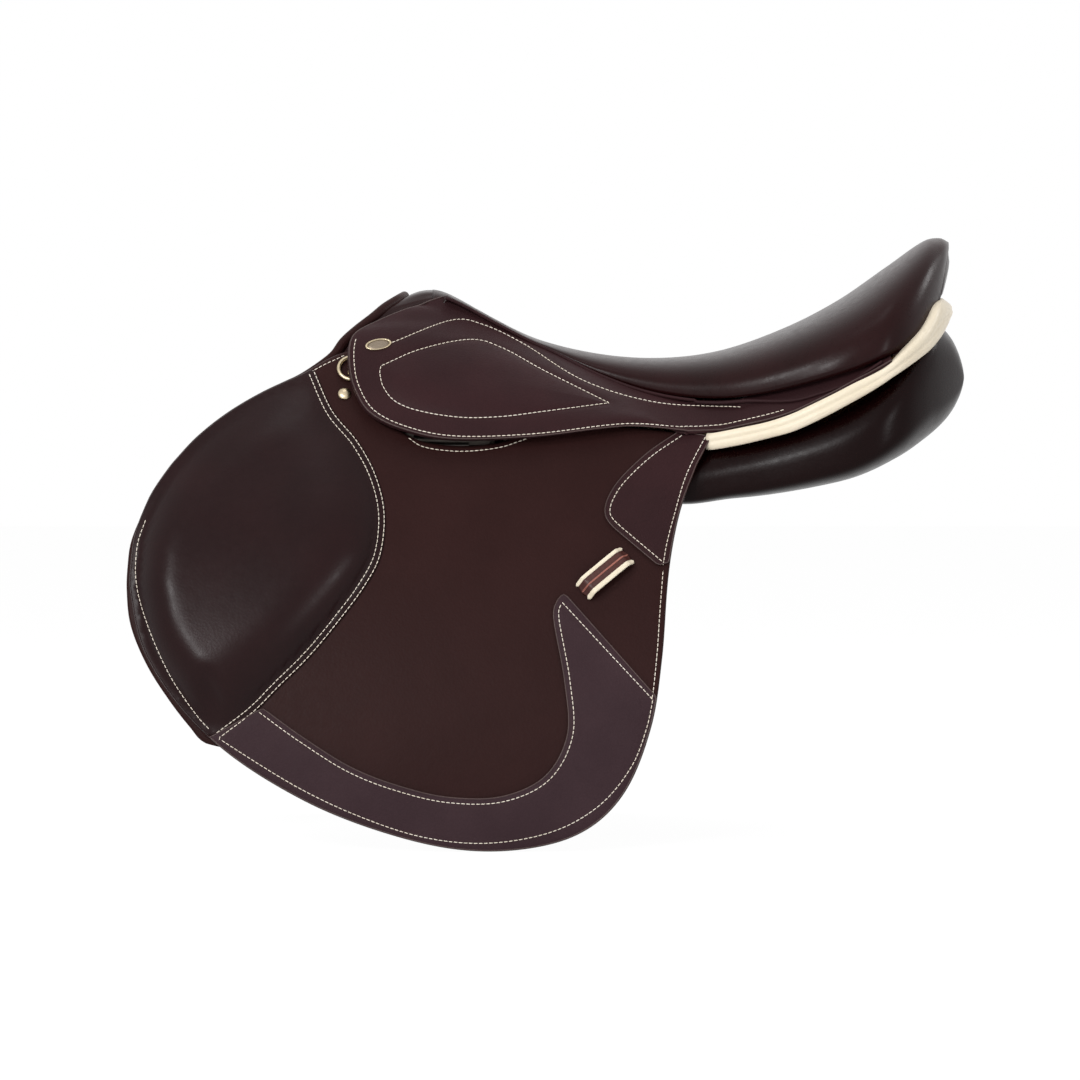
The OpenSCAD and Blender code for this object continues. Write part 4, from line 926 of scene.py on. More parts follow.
def knee_height(spots):
    """Height of the pad over the flap, with a pinch at its tip and a crease along the rear seam."""
    def rise(d, flange, width):
        return 1 - (1 - clamp01((d - flange) / width)) ** ROLL_POWER
    roll = (rise(distance(spots, knee_front), FRONT_FLANGE, FRONT_ROLL)
            * rise(distance(spots, knee_back), REAR_FLANGE, REAR_ROLL) ** .75)
    pinch = np.exp(-(distance(spots, KNEE_PINCH) / PINCH_HALF) ** 2)
    pinch = pinch * smooth((PINCH_TOP - spots[:, 1]) / 30)
    roll = roll * (1 - PINCH_SHARE * pinch)
    crease = KNEE_CREASE * np.exp(-((distance(spots, knee_rear) - 1) / KNEE_CREASE_HALF) ** 2)
    return KNEE_SHEET + KNEE_PUFF * curve(KNEE_CROWN, spots[:, 1]) * roll - crease


knee = cut_leather("knee_pad_right", knee_outline, knee_height, level(.3), edge=1.0, step=3.0, grid=4.0)
print("knee pad:", len(knee.data.polygons), "faces")

# %% [markdown]
# Two patches guard the flap where the rider's leg and the girth rub: a crescent along the lower edge
# with a horn that points up to the keeper, and a small one at the rear edge. They are thinner leather,
# sewn a few millimetres inside their edges. A pattern in the flap's finish could draw them, but their
# cut edges catch the light, so they are cut as pieces of their own, with a thin line along the edge,
# lighter partly from edge paint and partly as a painted highlight.

# %% Guard patches
GUARD_SEAM = [(-283, -150), (-252, -172), (-216, -194), (-179, -208), (-142, -216), (-102, -215),
              (-69, -199), (-52, -167), (-54, -127), (-62, -82), (-59.8, -70)]
GUARD_RIM_SEAM = [(-309.9, -169.2), (-307.3, -172.5), (-255.5, -204.1), (-208.9, -225.9), (-161.9, -241.1),
                  (-114.9, -245.5), (-67.9, -237.4), (-33, -218.4), (-9.5, -190.7), (1.9, -163.1),
                  (7, -140.9)]
PATCH_SEAM = [(30, 52), (7.1, 36.6), (-11.4, 19.7), (-20, 8.3), (-24.1, -2.2), (-21.5, -9.9),
              (-7.4, -22.4), (14.4, -40.5)]
HORN_TIP = np.array([[-60, -63], [-56, -64]])
PATCH_TOP, PATCH_UNDER = level(2.4), level(.4)
SEAM_MARGIN, PATCH_TRIM = 5, .7        # leather outside the seam, and how far short of the flap's edge
EDGE_CORD, EDGE_HEIGHT = .55, 2.2
guard_seam, guard_rim, patch_seam = seam(GUARD_SEAM), seam(GUARD_RIM_SEAM), seam(PATCH_SEAM)
low_front = front_edge[(down > 44) & (front_edge[:, 1] < -163)]
low_rear = rear_edge[rear_edge[:, 1] < -137][::-1]
guard_outline = np.vstack([low_front, low_rear, HORN_TIP[::-1],
                           beside(guard_seam, SEAM_MARGIN)[::-1]])
guard_outline = trimmed(guard_outline, PATCH_TRIM)
guard = cut_leather("flap_guard_patch_right", guard_outline, PATCH_TOP, PATCH_UNDER, edge=.9, step=3, grid=7)

rear_up = np.vstack([rear_edge[rear_edge[:, 1] > -44][::-1], [[53, 52]]])
patch_outline = trimmed(np.vstack([beside(patch_seam, -SEAM_MARGIN), rear_up]), PATCH_TRIM)
patch = cut_leather("rear_guard_patch_right", patch_outline, PATCH_TOP, PATCH_UNDER, edge=.9, step=3, grid=6)


def edge_cord(name, outline):
    """A thin round line along a patch's cut edge."""
    line = resample(inset(outline, .5), 3, closed=True)
    return tube(name, laid(line, flap_y, EDGE_HEIGHT), EDGE_CORD, 6, closed=True)


guard_edge = edge_cord("guard_edge_right", guard_outline)
patch_edge = edge_cord("patch_edge_right", patch_outline)
print("guards:", len(guard.data.polygons), "and", len(patch.data.polygons), "faces")

# %% [markdown]
# The skirt covers the stirrup bar. It is sewn to the seat along its top, runs back over the cream band
# as a narrow tail, and its padded leaf hangs free. It bends two ways, so it can't be cut at the flat
# table: one sheet is built from columns that run from the seat's edge over the fold to the free edge,
# smoothed, and the quilted field is raised inside its seam.

# %% Skirt curves
FOLD_A, FOLD_B = np.array([-163, 37.3013, 146.164]), np.array([35, 127.184, 55])
SKIRT_OUT = np.array([0, .72, .69]) / math.hypot(.72, .69)
UNDER_SEAT = np.array([0, -6, 3])   # the leather goes on a little under the seat's edge
LEAF_SWELL = 9
TAIL_OUT, TAIL_OVER = 2, 2.2        # the tail's lower edge, outside and above the cream band
TAIL_GAP, GAP_FROM, GAP_TO = 8, 72, 186   # how far it leaves the seat, and between which places
TAIL_LAP = .06
LEAF_EDGE = [(-176, 145, -11), (-200, 136, -1), (-215, 128, 10), (-219.5, 118, 14), (-219, 101, 14),
             (-215, 86, 14), (-204, 69, 14), (-180, 57, 14), (-143, 49.5, 14), (-83, 51, 14),
             (-31, 57, 14), (-2, 58.5, 11)]
SKIRT_EDGE = [FOLD_A] + [np.array([x, flap_face(z) + off, z]) for x, z, off in LEAF_EDGE] + [FOLD_B]
TEARDROP = [(-194.5, 103.3), (-164.2, 115.9), (-127.7, 122.6), (-103.6, 115.9), (-73, 99.5), (-24.6, 75.7)]
TEARDROP_LOW = [(-24.6, 75.7), (-73, 69.7), (-103.6, 66), (-134.1, 65.3), (-164, 69.7), (-182.6, 76.4),
                (-192.3, 86.9), (-195.4, 98), (-194.5, 103.3)]
SKIRT_SEAM = [(-187, 120.4), (-143.1, 136.8), (-118.5, 133.4), (-87.9, 118.9), (-42.5, 91.6), (12, 75.7),
              (75.3, 72.7)]
teardrop = np.vstack([seam(TEARDROP), seam(TEARDROP_LOW)[1:]])
skirt_seam = seam(SKIRT_SEAM)


def tail_low(x):
    """Lower edge of the tail, which lies along the cream band."""
    k = max(0, (seat_u(x) - STRIPE_U) / (ROUND_U - STRIPE_U) * .5)
    p, t = rim(k, curve(STRIPE_OFF, k) + TAIL_OUT), clamp01((x - FOLD_B[0]) / 30)
    return np.array([x, mix(FOLD_B[1], p[1], t), mix(FOLD_B[2], float(stripe_high(k)) + TAIL_OVER, t)])


def tail_high(x):
    """Upper edge of the tail, which leaves the seat and meets it again."""
    gap = TAIL_GAP * smooth((x - GAP_FROM) / 48) * smooth((GAP_TO - x) / 40)
    return mix(seat_edge_point(x) - [0, 0, gap], tail_low(x), TAIL_LAP)


print("skirt: quilted field", round(np.ptp(teardrop[:, 0])), "by", round(np.ptp(teardrop[:, 1])), "mm")

# %% Skirt columns
LEAF_THIN, LEAF_THICK, TAIL_THIN = 4, 6, 2.5
FRONT_LIFT, FRONT_SWELL = 2, 3.5       # the leaf's front corner stands a little higher and fuller
SKIRT_START_X, TAIL_END_U = -146, .88
TAIL_TUCK = np.array([0, -10, 4])      # how far the tail's hidden edge goes under the seat
columns, thick = [], []
fine = np.linspace(0, 1, 60)[:, None]
for t in np.linspace(0, 1, 190):
    fold, edge = mix(FOLD_A, FOLD_B, t), path(SKIRT_EDGE, t)
    lift = [0, 0, FRONT_LIFT * max(0, 1 - 6 * t)]
    fold = fold + lift + SKIRT_OUT * FRONT_SWELL * max(0, 1 - 4 * t)
    edge = edge + lift
    leaf = mix(fold, edge, fine) + SKIRT_OUT * LEAF_SWELL * np.sin(np.pi * fine) * math.sin(math.pi * t) ** .8
    start = seat_edge_point(mix(SKIRT_START_X, FOLD_B[0], t)) + UNDER_SEAT
    columns.append(np.vstack([mix(start, fold, fine[:-1]), leaf]))
    thick.append(mix(LEAF_THIN, LEAF_THICK, math.sin(math.pi * t)))
for x in np.linspace(FOLD_B[0], seat_x(TAIL_END_U), 90)[1:]:
    upper, low = tail_high(x) + UNDER_SEAT * smooth((98 - x) / 30), tail_low(x)
    tuck = seat_edge_point(x) + TAIL_TUCK * smooth((x - 66) / 20)
    columns.append(np.vstack([mix(tuck, upper, fine[:-1]), mix(upper, low, fine)]))
    thick.append(mix(LEAF_THIN, TAIL_THIN, smooth((x - 80) / 90)))
thick = np.array(thick)
print("skirt:", len(columns), "columns")

# %% Skirt sheet
ROWS = 70
PUFF, PUFF_WIDTH = 3.4, 24             # the quilted field's rise, and how far it takes to rise
STITCH_DIP, SEAM_DIP = .7, .4
PASSES, EVEN_PASSES, FRONT_COLUMNS = 160, 14, 110   # all columns are smoothed, then only the front
roll = np.radians([90, 60, 30, 0])
grid = []
for column, t in zip(columns, thick):
    gone = np.concatenate([[0], np.cumsum(np.linalg.norm(np.diff(column, axis=0), axis=1))])
    edge = min(t / 2, gone[-1] / 3)
    at = np.concatenate([np.linspace(0, gone[-1] - edge, ROWS), gone[-1] - edge * (1 - np.cos(roll[1:]))])
    grid.append(np.stack([np.interp(at, gone, column[:, axis]) for axis in range(3)], -1))
grid = np.array(grid)
front_share = smooth(1 - np.arange(len(grid)) / FRONT_COLUMNS)[:, None, None]
for step in range(PASSES):
    share = .5 * (front_share if step > EVEN_PASSES else 1)
    grid[:, 1:-4] += share * ((grid[:, :-5] + grid[:, 2:-3]) / 2 - grid[:, 1:-4])
normal = np.cross(np.gradient(grid, axis=0), np.gradient(grid, axis=1))
normal *= np.sign(normal @ SKIRT_OUT)[..., None]
normal /= np.linalg.norm(normal, axis=-1)[..., None] + 1e-9
side_view = grid[..., [0, 2]].reshape(-1, 2)
away = distance(side_view, teardrop)
depth = np.where(inside(side_view, teardrop), away, 0)
relief = PUFF * (1 - (1 - clamp01(depth / PUFF_WIDTH)) ** 2) - STITCH_DIP * np.exp(-(away / 1.8) ** 2)
relief -= SEAM_DIP * np.exp(-(distance(side_view, skirt_seam) / 1.6) ** 2)
relief = relief.reshape(grid.shape[:2])
drop = np.zeros(grid.shape[:2])
drop[:, -4:] = (1 - np.sin(roll))[None] * thick[:, None] / 2
outer = grid + normal * (relief - drop)[..., None]
inner = grid - normal * (thick[:, None] - drop)[..., None]
skirt = leather("skirt_leather_right", outer, inner)
print("skirt:", len(skirt.data.polygons), "faces")

# %% [markdown]
# A thin line, lighter than the leather, follows the skirt's cut edge from the seat's nose down and back:
# partly edge paint and partly a painted highlight. A narrow welt closes the join between seat and skirt.
# Both are thin tubes laid on the leather, because a line drawn in the finish would not catch the light
# as a rounded edge does.

# %% Skirt edge and welt
SKIRT_CORD, WELT = .6, 1.3
WELT_FROM, WELT_TO, WELT_ON_SEAT = -147, 178, 40   # it follows the seat's edge first, then the tail's
WELT_LIFT = np.array([0, .6, .8])
CORNER_POINTS = 31


def even_out(line, times):
    """Smooths a line of points in its place, with both ends held."""
    for _ in range(times):
        line[1:-1] += .5 * ((line[:-2] + line[2:]) / 2 - line[1:-1])


skirt_rim = resample(np.vstack([outer[0, 12:-10:3], outer[6:, -3]]), 2.0)
even_out(skirt_rim[:CORNER_POINTS], 8)
skirt_edge = tube("skirt_edge_right", skirt_rim, SKIRT_CORD, 6)
welt_line = [(seat_edge_point(x) if x < WELT_ON_SEAT else tail_high(x)) + WELT_LIFT
             for x in np.linspace(WELT_FROM, WELT_TO, 160)]
welt = tube("seat_welt_right", welt_line, WELT)
print("skirt edge:", len(skirt_rim), "points, welt:", len(welt_line))

# %% [markdown]
# The stitching is linen thread, about seven stitches to the inch. Each stitch is its own little spindle,
# half sunk in the leather, because bump cannot show the gaps between stitches when the light is low.
# A seam is a line in side view, dropped onto the leather below it.

# %% Needle and thread
STITCH_RINGS, STITCH_SIDES = 5, 6
STITCH_POINTS = STITCH_RINGS * STITCH_SIDES
STITCH_FACES = (STITCH_RINGS - 1) * STITCH_SIDES + 2
STITCH_PROUD, STITCH_SINK = .2, .45    # its middle stands out, its ends go into the leather


def surface(*objects):
    """A tree of faces that lines can be dropped onto."""
    points, faces = [], []
    for obj in objects:
        faces += [[i + len(points) for i in p.vertices] for p in obj.data.polygons]
        points += [v.co / MM for v in obj.data.vertices]
    return BVHTree.FromPolygons(points, faces)


def dropped(line, found):
    """Points and outward normals where a line in side view meets a surface, from the right."""
    spots, normals = [], []
    for x, z in line:
        hit, out, _, _ = found.ray_cast(Vector((x, 500, z)), Vector((0, -1, 0)))
        if hit is not None:
            spots.append(hit)
            normals.append(out if out.y > 0 else -out)
    return np.array(spots), np.array(normals)


def thread(name, lines, pitch=3.7, share=.85, radius=.34):
    """One mesh of stitches along lines of points with normals."""
    parts, faces, count = [], [], 0
    place = np.array([-.5, -.36, 0, .36, .5])
    girth = np.array([.3, .85, 1, .85, .3])
    turn = np.linspace(0, 2 * np.pi, STITCH_SIDES, endpoint=False)
    for spots, normals in lines:
        run = resample(np.hstack([spots, normals]), pitch / 2)
        centre, tip, tail = run[1:-1:2], run[2::2], run[:-2:2]
        size = min(len(centre), len(tip), len(tail))
        centre, along = centre[:size], (tip[:size] - tail[:size])[:, :3]
        length = np.linalg.norm(along, axis=1)[:, None]
        along = along / length
        up = centre[:, 3:] / np.linalg.norm(centre[:, 3:], axis=1)[:, None]
        up = up - along * np.sum(up * along, 1)[:, None]
        up /= np.linalg.norm(up, axis=1)[:, None]
        across = np.cross(up, along)
        spine = (centre[:, None, :3] + along[:, None] * (place * pitch * share)[None, :, None]
                 + up[:, None] * (STITCH_PROUD - STITCH_SINK * (2 * place) ** 4)[None, :, None])
        ring = np.cos(turn)[:, None] * across[:, None, None] + np.sin(turn)[:, None] * up[:, None, None]
        points = spine[:, :, None] + radius * girth[None, :, None, None] * ring
        for i in range(size):
            first = count + i * STITCH_POINTS
            last = first + STITCH_POINTS - STITCH_SIDES
            faces += grid_faces(STITCH_RINGS, STITCH_SIDES, first, wrap=True)
            faces += [[first + j for j in reversed(range(STITCH_SIDES))],
                      [last + j for j in range(STITCH_SIDES)]]
        parts.append(points.reshape(-1, 3))
        count += size * STITCH_POINTS
    mesh = bpy.data.meshes.new(name)
    mesh.from_pydata((np.vstack(parts) * MM).tolist(), [], faces)
    mesh.shade_smooth()
    made = bpy.data.objects.new(name, mesh)
    scene.collection.objects.link(made)
    return made


print("needle ready,", STITCH_FACES, "faces a stitch")

# %% Sew the flap and its guard
flap_seams = surface(flap, knee, guard, patch)
knee_front_seam, knee_inner = seam(KNEE_FRONT_SEAM), beside(knee_rear, -4)
rear_seam_top = seam([(14.9, -43.1), (18, -26.3), (24, -4.4), (30.9, 18.3), (38.5, 35.1), (48.3, 52.8)])
rear_seam_low = seam([(14.9, -47.4), (12.5, -76.5), (10.5, -104.5), (7.6, -132.5), (6.2, -140.5)])
cut_out_seam = seam([(-174, 50), (-166, 44.6), (-157, 42), (-146, 40.6), (-135, 40), (-119, 40.9),
                     (-104, 43.3), (-94, 46.5), (-84, 50)])
brow_seam = seam([(-247, 98.6), (-238, 103.6), (-228, 108.2), (-222, 111)])
horn_seam = seam([(-59.8, -70), (-26, -106), (7, -140.9)])
flap_thread = thread("flap_thread_right", [dropped(line, flap_seams) for line in (
    knee_front_seam, knee_rear, knee_inner, rear_seam_top, rear_seam_low, cut_out_seam, brow_seam,
    patch_seam)])
guard_thread = thread("guard_thread_right", [dropped(line, flap_seams) for line in (
    guard_seam, guard_rim, horn_seam)])
print("stitches: flap", len(flap_thread.data.polygons) // STITCH_FACES,
      "guard", len(guard_thread.data.polygons) // STITCH_FACES)

# %% Sew the skirt
SEAM_INSET = 5.6
SEWN_FROM, SEWN_TO = 52, 108           # first column, and last place along the horse
edge_line = outer[:, -4] + 0
for j in range(len(outer)):
    back = np.linalg.norm(outer[j] - outer[j, -1], axis=1)
    order = np.argsort(back)
    edge_line[j] = [np.interp(min(SEAM_INSET, back.max() * .6), back[order], outer[j, order, axis])
                    for axis in range(3)]
even_out(edge_line, 12)
keep = slice(SEWN_FROM, int(np.argmax(edge_line[:, 0] > SEWN_TO)))
skirt_top = surface(skirt)
skirt_thread = thread("skirt_thread_right", [
    dropped(skirt_seam, skirt_top), dropped(teardrop, skirt_top), (edge_line[keep], normal[keep, -6])])
print("stitches: skirt", len(skirt_thread.data.polygons) // STITCH_FACES)

# %% [markdown]
# The keeper on the flap holds the loose ends of straps. It is a short arched band with two cream edges
# and a brown middle with a pale crease. It could be one band with painted stripes, but the real strips
# stand beside each other, so each is swept over the same arch.

# %% Keepers
KEEPER_X, KEEPER_Z, KEEPER_TURN = -28, -50, 41
KEEPER_HALF, KEEPER_ARCH, KEEPER_BOW = 22.5, 5.6, .8
KEEPER_LAY, KEEPER_FOOT, KEEPER_END = .6, .3, .07   # off the flap, then shares of its half length


def on_flap(x, z):
    """Place and directions on the flap's outside: along X, down the flap, outwards."""
    tilt = float(flap_tilt(z)) - math.pi / 2
    return (np.array([x, float(flap_y(x, z)), z]), np.array([1, 0, 0]),
            np.array([0, math.cos(tilt), math.sin(tilt)]), np.array([0, -math.sin(tilt), math.cos(tilt)]))


def keeper_strip(name, middle, width, thickness, lift):
    """A band over the keeper's arch, its middle a distance across from the keeper's centre line."""
    spot, ex, ey, ez = on_flap(KEEPER_X, KEEPER_Z)
    turn = math.radians(KEEPER_TURN)
    along = math.cos(turn) * ex - math.sin(turn) * ey
    across = math.sin(turn) * ex + math.cos(turn) * ey
    rows = []
    for t in np.linspace(-1, 1, 41):
        arch = KEEPER_ARCH * smooth((1 - abs(t)) / KEEPER_FOOT) + KEEPER_BOW * (1 - t * t)
        high = KEEPER_LAY + lift + arch
        closing = max(0, (abs(t) - (1 - KEEPER_END)) / KEEPER_END)
        half = width / 2 * math.sqrt(max(.02, 1 - closing ** 2))
        ring = []
        for a in np.linspace(0, 2 * np.pi, 14, endpoint=False):
            ring.append(spot + along * KEEPER_HALF * t + across * (middle + half * puff(math.cos(a), 4))
                        + ez * (high + thickness / 2 + thickness / 2 * puff(math.sin(a), 4)))
        rows.append(ring)
    return loft(name, rows)


keeper_band = keeper_strip("keeper_band_right", 0, 11.5, 1.7, 0)
keeper_edges = [keeper_strip("keeper_edge_upper_right", -6.6, 3.0, 2.3, 0),
                keeper_strip("keeper_edge_lower_right", 6.4, 3.8, 2.4, 0)]
keeper_ridge = keeper_strip("keeper_ridge_right", 0, 1.3, 1.0, 1.3)
print("keeper: four strips a side,", len(keeper_band.data.polygons), "faces each")

# %% [markdown]
# The metal is small: a dee on its clip, a round stud, and a plain oval plate on the skirt. The packed
# solids could stay, but they are too coarse for round highlights, so a swept wire and turned or
# pressed shapes take their places.

# %% Dees, clips and studs
DEE_X, DEE_Z, DEE_BOW, DEE_WIRE, DEE_LIFT = -216.7, 100, 9.75, 1.5, 2.5
CLIP_RADIUS, CLIP_HALF = 3.0, 6
STUD_X, STUD_Z, STUD_RADIUS, STUD_SIDE, STUD_DOME = -222, 82, 5, .8, 2.2


def turned(name, profile, spot, ex, ey, ez, sides=28):
    """A turned shape on an axis ez, from radius and height."""
    turn = np.linspace(0, 2 * np.pi, sides, endpoint=False)
    rings = [[spot + r * (math.cos(a) * ex + math.sin(a) * ey) + h * ez for a in turn] for r, h in profile]
    return loft(name, rings)


spot, ex, ey, ez = on_flap(DEE_X, DEE_Z)
raised = spot + DEE_LIFT * ez
bow = np.radians(np.linspace(90, 270, 25))
wire = [DEE_BOW * (math.cos(a) * ex + math.sin(a) * ey) for a in bow]
bar = [ey * h for h in np.linspace(-DEE_BOW, DEE_BOW, 10)[1:-1]]
dee = tube("dee_ring_right", [raised + p for p in wire + bar], DEE_WIRE, sides=14, closed=True)
clip_rings = [[raised + ey * h + CLIP_RADIUS * (math.cos(a) * ex + math.sin(a) * ez)
               for a in np.linspace(0, 2 * np.pi, 20, endpoint=False)]
              for h in np.linspace(-CLIP_HALF, CLIP_HALF, 7)]
clip = loft("dee_clip_right", clip_rings)
dome = [(STUD_RADIUS * math.cos(a), STUD_SIDE + STUD_DOME * math.sin(a))
        for a in np.radians(np.arange(15, 90, 15))]
stud_profile = [(.1, 0), (STUD_RADIUS, 0), (STUD_RADIUS, STUD_SIDE)] + dome + [(.1, STUD_SIDE + STUD_DOME)]
stud = turned("stud_head_right", stud_profile, *on_flap(STUD_X, STUD_Z))
print("dee:", len(dee.data.polygons), "faces, stud:", len(stud.data.polygons))

# %% Oval plates
OVAL_LONG, OVAL_SHORT, OVAL_LEAN = 10, 5, math.radians(18)
plate_low, plate_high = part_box("skirt_plate_right")
middle = (np.array(plate_low) + np.array(plate_high)) / 2 / MM
hit, out, _, _ = skirt_top.ray_cast(Vector((middle[0], 500, middle[2])), Vector((0, -1, 0)))
out = np.array(out if out.y > 0 else -out)
lean = np.array([math.cos(OVAL_LEAN), 0, math.sin(OVAL_LEAN)])
lean = lean - out * (lean @ out)
lean /= np.linalg.norm(lean)


def oval(name, profile):
    """Oval rings on the plate's place, from their size and height."""
    turn = np.linspace(0, 2 * np.pi, 48, endpoint=False)[:, None]
    return loft(name, [np.array(hit) + out * high + OVAL_LONG * size * np.cos(turn) * lean
                       + OVAL_SHORT * size * np.sin(turn) * np.cross(out, lean) for size, high in profile])


plate = oval("skirt_oval_right", [(.98, -.6), (1, 0), (1, .7), (.97, 1.05), (.91, 1.15), (.86, .9),
                                  (.84, .4)])
plate_field = oval("skirt_oval_field_right", [(.85, .1), (.85, .55), (.6, .75), (.3, .82), (.02, .85)])
print("plate:", len(plate.data.polygons), "faces, field:", len(plate_field.data.polygons))

# %% [markdown]
# Leather has a fine pebbled grain about a millimetre across, with wider soft changes of colour and
# gloss where it was handled. Voronoi cells give the grain and noise gives the changes, in object
# space. The real grain is too fine to show at this size, so it is drawn about twice as coarse. A photo
# of leather could be wrapped on instead, but it would stretch where the pieces bend.

# %% Leather recipe
PORES, CLOUDS = 6, 55                  # millimetres
GRAIN_DEEP = .0006                     # metres
NOISE = {"From Min": .3, "From Max": .7}   # most of a noise lies between these


def leather_finish(name, colour, dark, gloss, grain=2.0, depth=.25, specular=.3):
    """Grain cells, pores and clouds of colour, their sizes in millimetres."""
    made, tree = blank_finish(name)
    place = add_node(tree, "ShaderNodeTexCoord").outputs["Object"]
    cells = add_node(tree, "ShaderNodeTexVoronoi", {"Vector": place, "Scale": 1000 / grain}, feature="F1")
    cell = cells.outputs["Distance"]
    pores = add_node(tree, "ShaderNodeTexNoise", {"Vector": place, "Scale": 1000 / PORES, "Detail": 4})
    pore = pores.outputs["Fac"]
    cloud = add_node(tree, "ShaderNodeTexNoise", {"Vector": place, "Scale": 1000 / CLOUDS, "Detail": 3})
    height = add_node(tree, "ShaderNodeMath", {0: cell, 1: pore}, operation="ADD")
    bump = add_node(tree, "ShaderNodeBump",
                    {"Strength": depth, "Distance": GRAIN_DEEP, "Height": height.outputs[0]})
    tone = add_node(tree, "ShaderNodeMapRange", {"Value": cloud.outputs["Fac"], **NOISE})
    pit = add_node(tree, "ShaderNodeMapRange",
                   {"Value": cell, "From Min": .0, "From Max": .9, "To Min": .0, "To Max": .35})
    blend = add_node(tree, "ShaderNodeMath", {0: tone.outputs[0], 1: pit.outputs[0]}, operation="SUBTRACT")
    paint = add_node(tree, "ShaderNodeMix", {"Factor": blend.outputs[0], "A": srgb(dark), "B": srgb(colour)},
                     data_type="RGBA")
    rough = add_node(tree, "ShaderNodeMapRange",
                     {"Value": pore, **NOISE, "To Min": gloss - .03, "To Max": gloss + .04})
    shader = add_node(tree, "ShaderNodeBsdfPrincipled", {
        "Base Color": paint.outputs["Result"], "Roughness": rough.outputs[0], "Normal": bump.outputs[0],
        "Specular IOR Level": specular, "IOR": 1.5})
    add_node(tree, "ShaderNodeOutputMaterial", {"Surface": shader.outputs[0]})
    return made


print("leather recipe: pores", PORES, "mm, clouds", CLOUDS, "mm")

# %% Leather finishes
# Calfskin, drawn tight and polished: a close grain, nearly black, with clear soft highlights.
seat_hide = leather_finish("seat_calfskin", "#220b0c", "#1c0909", .29, depth=.05, specular=.12)
# The same calf over the knee's foam: a little more grain, and broader highlights on the roll.
knee_hide = leather_finish("knee_calfskin", "#200d0e", "#1b0a0b", .31, depth=.06, specular=.13)
# Waxed cowhide: an even, quiet brown that hardly shines.
flap_hide = leather_finish("flap_cowhide", "#2c1817", "#281514", .42, depth=.12, specular=.06)
# Cowhide with a pressed grain: redder and matt, so the quilting shows by its shading.
skirt_hide = leather_finish("skirt_grained_cowhide", "#311c1e", "#2a181a", .5, grain=1.6, depth=.2,
                            specular=.07)
# The same pressed grain on the guards: greyer and a shade paler than the flap under them.
guard_hide = leather_finish("guard_grained_cowhide", "#3a2a2e", "#332428", .48, grain=1.6, depth=.2,
                            specular=.06)
# Panel calf, glazed: the darkest and smoothest, with one long highlight along the cushion.
panel_hide = leather_finish("panel_calfskin", "#130404", "#100303", .28, depth=.04, specular=.09)
# Bridle leather, curried with grease: brown, dense and half matt on the girth straps.
strap_hide = leather_finish("strap_bridle_leather", "#331c19", "#2a1613", .45, specular=.15)
# Cream patent leather, lacquered: pale and warm, with a soft even shine.
cream_hide = leather_finish("cream_patent_leather", "#e9dec9", "#e0d3bb", .36, depth=.08)
# Dyed leather on the keeper: a red brown that stands out between its cream edges.
keeper_hide = leather_finish("keeper_red_brown_leather", "#4a241e", "#3b1b17", .42)
# The keeper's raised crease, rubbed bare of dye: a pale pink-brown line.
ridge_hide = leather_finish("keeper_creased_leather", "#a4695c", "#8a5348", .45)
# Cut edges, painted and burnished: a thin line, lighter than the leather beside it, partly from the edge
# paint and partly as a painted highlight where the rounded edge catches the light.
edge_paint_and_highlight = leather_finish("burnished_edge_leather", "#4a3836", "#3d2d2b", .4)
# Linen thread drawn through wax: off-white and matt, so each stitch reads as a pale dash.
linen = leather_finish("waxed_linen_thread", "#f3ebdf", "#e6dac8", .6, grain=1.2)
print("leathers: 11, thread: 1")

# %% [markdown]
# The fittings are pale brass, cast and polished by hand, and the hidden bars are forged steel. Fine
# noise in the roughness gives the slight haze of handled metal, where a single number would look like
# chrome. The tree is laminated beech and the webs are woven linen, both drawn by bands.

# %% Metal
HAZE_DEEP = .0003                      # metres


def metal_finish(name, colour, gloss, scratch):
    """Metal with a haze of small scratches, their size in millimetres."""
    made, tree = blank_finish(name)
    place = add_node(tree, "ShaderNodeTexCoord").outputs["Object"]
    haze = add_node(tree, "ShaderNodeTexNoise", {"Vector": place, "Scale": 1000 / scratch, "Detail": 5})
    rough = add_node(tree, "ShaderNodeMapRange", {
        "Value": haze.outputs["Fac"], **NOISE, "To Min": gloss - .05, "To Max": gloss + .1})
    bump = add_node(tree, "ShaderNodeBump",
                    {"Strength": .08, "Distance": HAZE_DEEP, "Height": haze.outputs["Fac"]})
    shader = add_node(tree, "ShaderNodeBsdfPrincipled", {
        "Base Color": srgb(colour), "Metallic": 1.0, "Roughness": rough.outputs[0],
        "Normal": bump.outputs[0]})
    add_node(tree, "ShaderNodeOutputMaterial", {"Surface": shader.outputs[0]})
    return made


# Cast brass, polished by hand: pale gold, with blurred bright glints.
brass = metal_finish("pale_cast_brass", "#c2b396", .32, 3)
# Stamped brass, toned by handling: the plate's field, greyer and duller than its rim.
aged_brass = metal_finish("toned_stamped_brass", "#84786a", .5, 1.2)
# Forged steel with a satin finish, its colour painted dark grey as the shade in which the bars sit under the
# skirt, with wide soft glints on the bars.
steel = metal_finish("satin_steel_painted_dark_as_shade", "#4c4743", .4, 4)
print("metals: 3")

# %% Wood and web
BAND_PERIOD = 314                      # the node's bands repeat every 314 mm at a scale of 1
BAND_DEEP = .0005                      # metres


